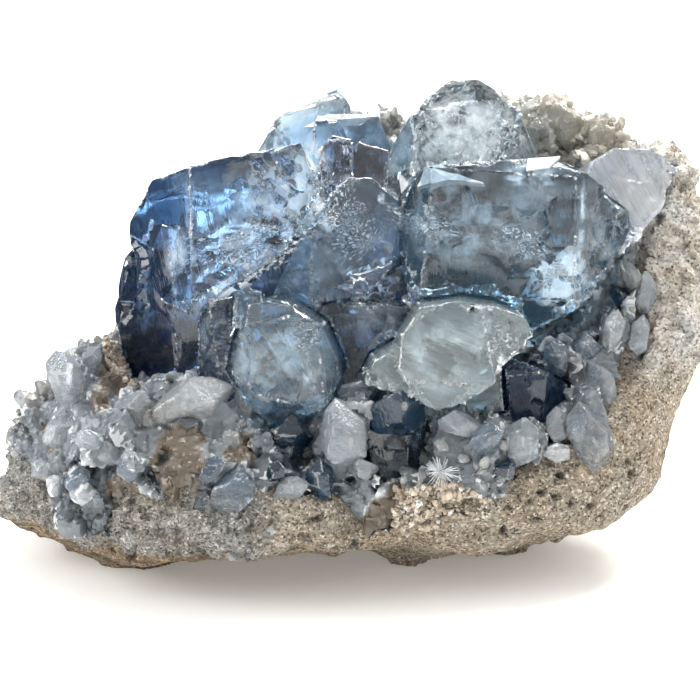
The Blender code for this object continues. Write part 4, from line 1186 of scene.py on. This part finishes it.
PALE_ONES = (
    (-46.4, -24.5, 34.9, 3.7, 3.5, 5.6, 0.62), (-43.2, -19.7, 36.4, 1.9, 1.7, 2.6, 0.55),
    (-35.6, -31.7, 30.9, 3.4, 2.6, 3.7, 0.45), (-26.1, -30.7, 32.6, 6.1, 3.9, 4.4, 0.85),
    (-32.4, -31.7, 30.3, 2.3, 1.6, 2.0, 0.9), (-17.9, -27.8, 30.4, 2.7, 2.2, 3.3, 0.8),
    (-10.1, -38.9, 21.0, 2.8, 1.8, 2.0, 0.45), (0.7, -25.0, 32.7, 3.0, 1.9, 2.1, 0.5),
    (-1.7, -34.9, 28.8, 4.1, 3.4, 4.9, 0.45), (17.1, -33.8, 30.0, 3.4, 2.2, 2.6, 0.5),
    (27.0, -33.8, 26.9, 3.2, 2.8, 4.2, 0.4), (32.5, -29.4, 28.4, 2.0, 1.8, 2.7, 0.85),
    (32.4, -31.8, 24.6, 2.4, 1.5, 1.7, 0.95), (40.8, -22.9, 32.1, 2.8, 2.6, 4.2, 0.5),
    (48.8, -13.0, 46.7, 2.0, 2.2, 3.9, 0.5), (42.8, -17.7, 40.2, 2.1, 2.5, 4.6, 0.75),
    (47.6, -17.0, 40.2, 1.8, 1.9, 3.2, 0.45), (38.5, 15.5, 70.8, 3.5, 3.1, 4.8, 0.35),
    (44.2, 13.2, 68.9, 2.7, 2.0, 2.7, 0.7), (1.8, -36.5, 23.1, 2.3, 1.7, 2.3, 0.6),
    (-15.7, -32.5, 26.9, 2.0, 1.6, 2.3, 0.8), (-19.2, -35.1, 27.6, 1.8, 1.3, 1.7, 0.5),
    (-47.8, -26.5, 26.7, 2.7, 1.9, 2.4, 0.7), (-41.1, -38.1, 28.6, 2.3, 1.6, 2.0, 0.5),
    (-38.4, -35.8, 25.4, 2.2, 1.6, 2.0, 0.8), (-50.7, -25.5, 19.6, 2.1, 1.6, 2.1, 0.6),
)
SLATE_ONES = (
    (-26.7, -33.2, 29.1, 3.2, 1.9, 2.0, 0.4), (-18.5, -40.5, 21.6, 3.6, 2.7, 3.6, 0.35),
    (-22.0, -40.4, 24.4, 2.0, 1.5, 2.0, 0.2), (20.9, -35.1, 27.6, 2.8, 2.2, 3.0, 0.7),
    (37.6, -30.1, 26.7, 4.1, 3.7, 5.7, 0.85), (38.9, -18.3, 37.7, 2.6, 2.3, 3.5, 0.7),
    (33.0, -23.1, 37.9, 2.6, 2.2, 3.2, 0.3), (32.9, 13.2, 69.4, 2.3, 2.3, 3.8, 0.7),
    (-43.3, -35.7, 21.2, 2.3, 1.6, 2.0, 0.6), (-34.7, -40.7, 24.5, 2.0, 1.5, 2.0, 0.4),
    (-23.1, -41.2, 19.8, 1.7, 1.3, 1.7, 0.2),
)
DARK_ONES = (
    (-5.1, -38.1, 22.0, 2.5, 2.1, 3.2, 0.3), (-10.3, -32.7, 27.2, 4.3, 3.2, 4.3, 0.2),
    (6.7, -32.8, 31.3, 4.6, 3.5, 4.8, 0.35), (44.8, -13.1, 45.8, 2.1, 1.7, 2.3, 0.4),
    (-12.1, -39.0, 23.9, 1.7, 1.3, 1.7, 0.1), (23.9, -35.7, 22.9, 2.3, 1.5, 1.7, 0.35),
)
for name, rows, seed, dark, light, clear in (
        ("pale_lumps", PALE_ONES, 401, (0.46, 0.56, 0.64), (0.86, 0.91, 0.95), 0.72),
        ("slate_lumps", SLATE_ONES, 409, (0.13, 0.24, 0.38), (0.62, 0.74, 0.87), 0.85),
        ("dark_lumps", DARK_ONES, 419, (0.006, 0.025, 0.065), (0.10, 0.25, 0.42), 0.85)):
    lumps(name, rows, seed, druse_finish(name + "_finish", dark, light, clear, 0.05))

rng = np.random.default_rng(421)
roots, out = scatter(bed, 620, 423, outer_side)
roots, out = (part[depth_in_crystals(roots) < -0.9 * MM] for part in (roots, out))
sizes = (0.8 + 1.7 * rng.beta(1.2, 2.6, (len(roots), 1))) * rng.uniform(0.6, 1.35, (len(roots), 3))
middles, paleness = roots / MM + 0.3 * out * sizes, rng.beta(1.1, 1.3, (len(roots), 1))
rows = np.concatenate([middles, sizes, paleness], axis=1)
lumps("druse_crystals", rows, 431, GRAIN_FINISH, rings=6, around=10, blunt=30)

# %% [markdown]
# ## Grit and a burst of needles
#
# Tan grit fills some hollows of the druse: grains of half a millimetre, with the tones of rock.
# Near the foot of the lower dark crystal a spray of thin white needles starts from one point.

# %% Grit and needles
grit_finish = druse_finish("grit_finish", (0.22, 0.17, 0.12), (0.78, 0.66, 0.51), 0.0, 0.5)
for name, source, count in (("tan_grit", bed, 130000), ("tan_grit_below", stone, 60000)):
    grow(name, source, count, 503, in_patches, 0.2, 0.75, 0.8, grit_finish, rise_by=(0.5, 1.3))

needle_count = 80
rng = np.random.default_rng(511)
root = np.array([[13.6, -36.6, 22.9]]) * MM + rng.normal(0, 0.12 * MM, (needle_count, 3))
needle_axes = unit(rng.normal(size=(needle_count, 3)) * [0.9, 0.4, 0.6] + [0.5, -0.5, -0.35])
needles = grains("needles", root, needle_axes, np.full(needle_count, 0.09 * MM),
                 MM * rng.uniform(1.0, 3.4, needle_count), 521, rust=0)
# White for the needles, the crumbs, and the plates of painted reflection.
WHITE_FINISH = druse_finish("white_chip_finish", (0.80, 0.84, 0.86), (0.95, 0.97, 0.98), 0.1, 0.15)
hand_over(needles, WHITE_FINISH)

# %% [markdown]
# ## Crumbs, painted reflections and the shaded pit
#
# Where an edge is worn, splinters stand on it and catch the light as white dots and lines. They are placed on
# the vertices that were painted as chipped. A few small facets look white where the real ones reflect the sky:
# these are painted reflections, thin white plates given by their corners. One pit in the left block is painted
# black, as painted shade in the hollow.

# %% Crumbs on the worn edges
rng = np.random.default_rng(601)
roots, out = [], []
for name, piece in crystals.items():
    chip = np.empty(len(piece.data.vertices))
    piece.data.attributes["chip"].data.foreach_get("value", chip)
    share = 0.11 if name == "left_block" else 0.07
    chosen = (chip > 0.6) & (rng.uniform(size=len(chip)) < share)
    roots.append(places_of(piece)[chosen])
    out.append(places_of(piece, "normal")[chosen])
    print(name, "crumbs:", chosen.sum())
roots, out = np.concatenate(roots), np.concatenate(out)
widths = MM * (0.07 + 0.26 * rng.beta(1.2, 3, len(roots)))
axes = unit(out + 0.8 * rng.normal(size=out.shape))
crumbs = grains("edge_crumbs", roots, axes, widths, widths * rng.uniform(0.4, 1.4, len(roots)), 607, rust=0)
hand_over(crumbs, WHITE_FINISH)

# %% Painted reflections and the shaded pit
# Painted reflections: corners of the outer face of each white plate in mm, then the way to the inner face.
PAINTED_REFLECTIONS = (
    (((12.2, -16.5, 68.4), (20.8, -20.5, 66.3), (15.4, -19.4, 66.6), (10.3, -17.6, 65.2)), (0.4, 1.4, -0.9)),
    (((28.1, -18.0, 69.8), (33.4, -17.5, 70.1), (31.4, -19.5, 68.6), (27.7, -20.0, 68.3)), (0.0, 0.3, -0.5)),
    (((7.6, -4.1, 65.4), (9.3, -6.5, 63.9), (8.1, -5.9, 62.2)), (0.5, 0.5, -0.1)),
    (((-9.1, 25.7, 69.8), (-4.7, 25.8, 72.2), (4.0, 23.4, 72.3), (1.4, 21.8, 70.6)), (0.0, 0.5, 0.0)),
)
places, faces = [], []
for corners, inner in PAINTED_REFLECTIONS:
    corners, first, n = np.array(corners) * MM, sum(map(len, places)), len(corners)
    k = np.arange(n)
    places += [corners, corners + np.array(inner) * MM]
    faces += [(first + k).tolist(), (first + n + k[::-1]).tolist()]
    faces += (first + np.stack([k, n + k, n + (k + 1) % n, (k + 1) % n], axis=1)).tolist()
# White plates as painted reflections of the sky on small facets.
facets = from_arrays("painted_reflections", np.concatenate(places), faces)
bm = bmesh.new()
bm.from_mesh(facets.data)
bmesh.ops.recalc_face_normals(bm, faces=bm.faces)
bm.to_mesh(facets.data)
bm.free()
paint_druse(facets, np.ones(len(facets.data.vertices)), rust=0)
hand_over(facets, WHITE_FINISH)
# A nearly black lump in the pit of the left block: painted shade in the hollow.
lumps("pit_shade", [(-12.7, -21.7, 57.05, 1.4, 0.6, 0.6, 0.0)], 611,
      druse_finish("pit_shade_finish", (0.002, 0.003, 0.005), (0.004, 0.005, 0.008), 0.0, 0.5), rust=0)
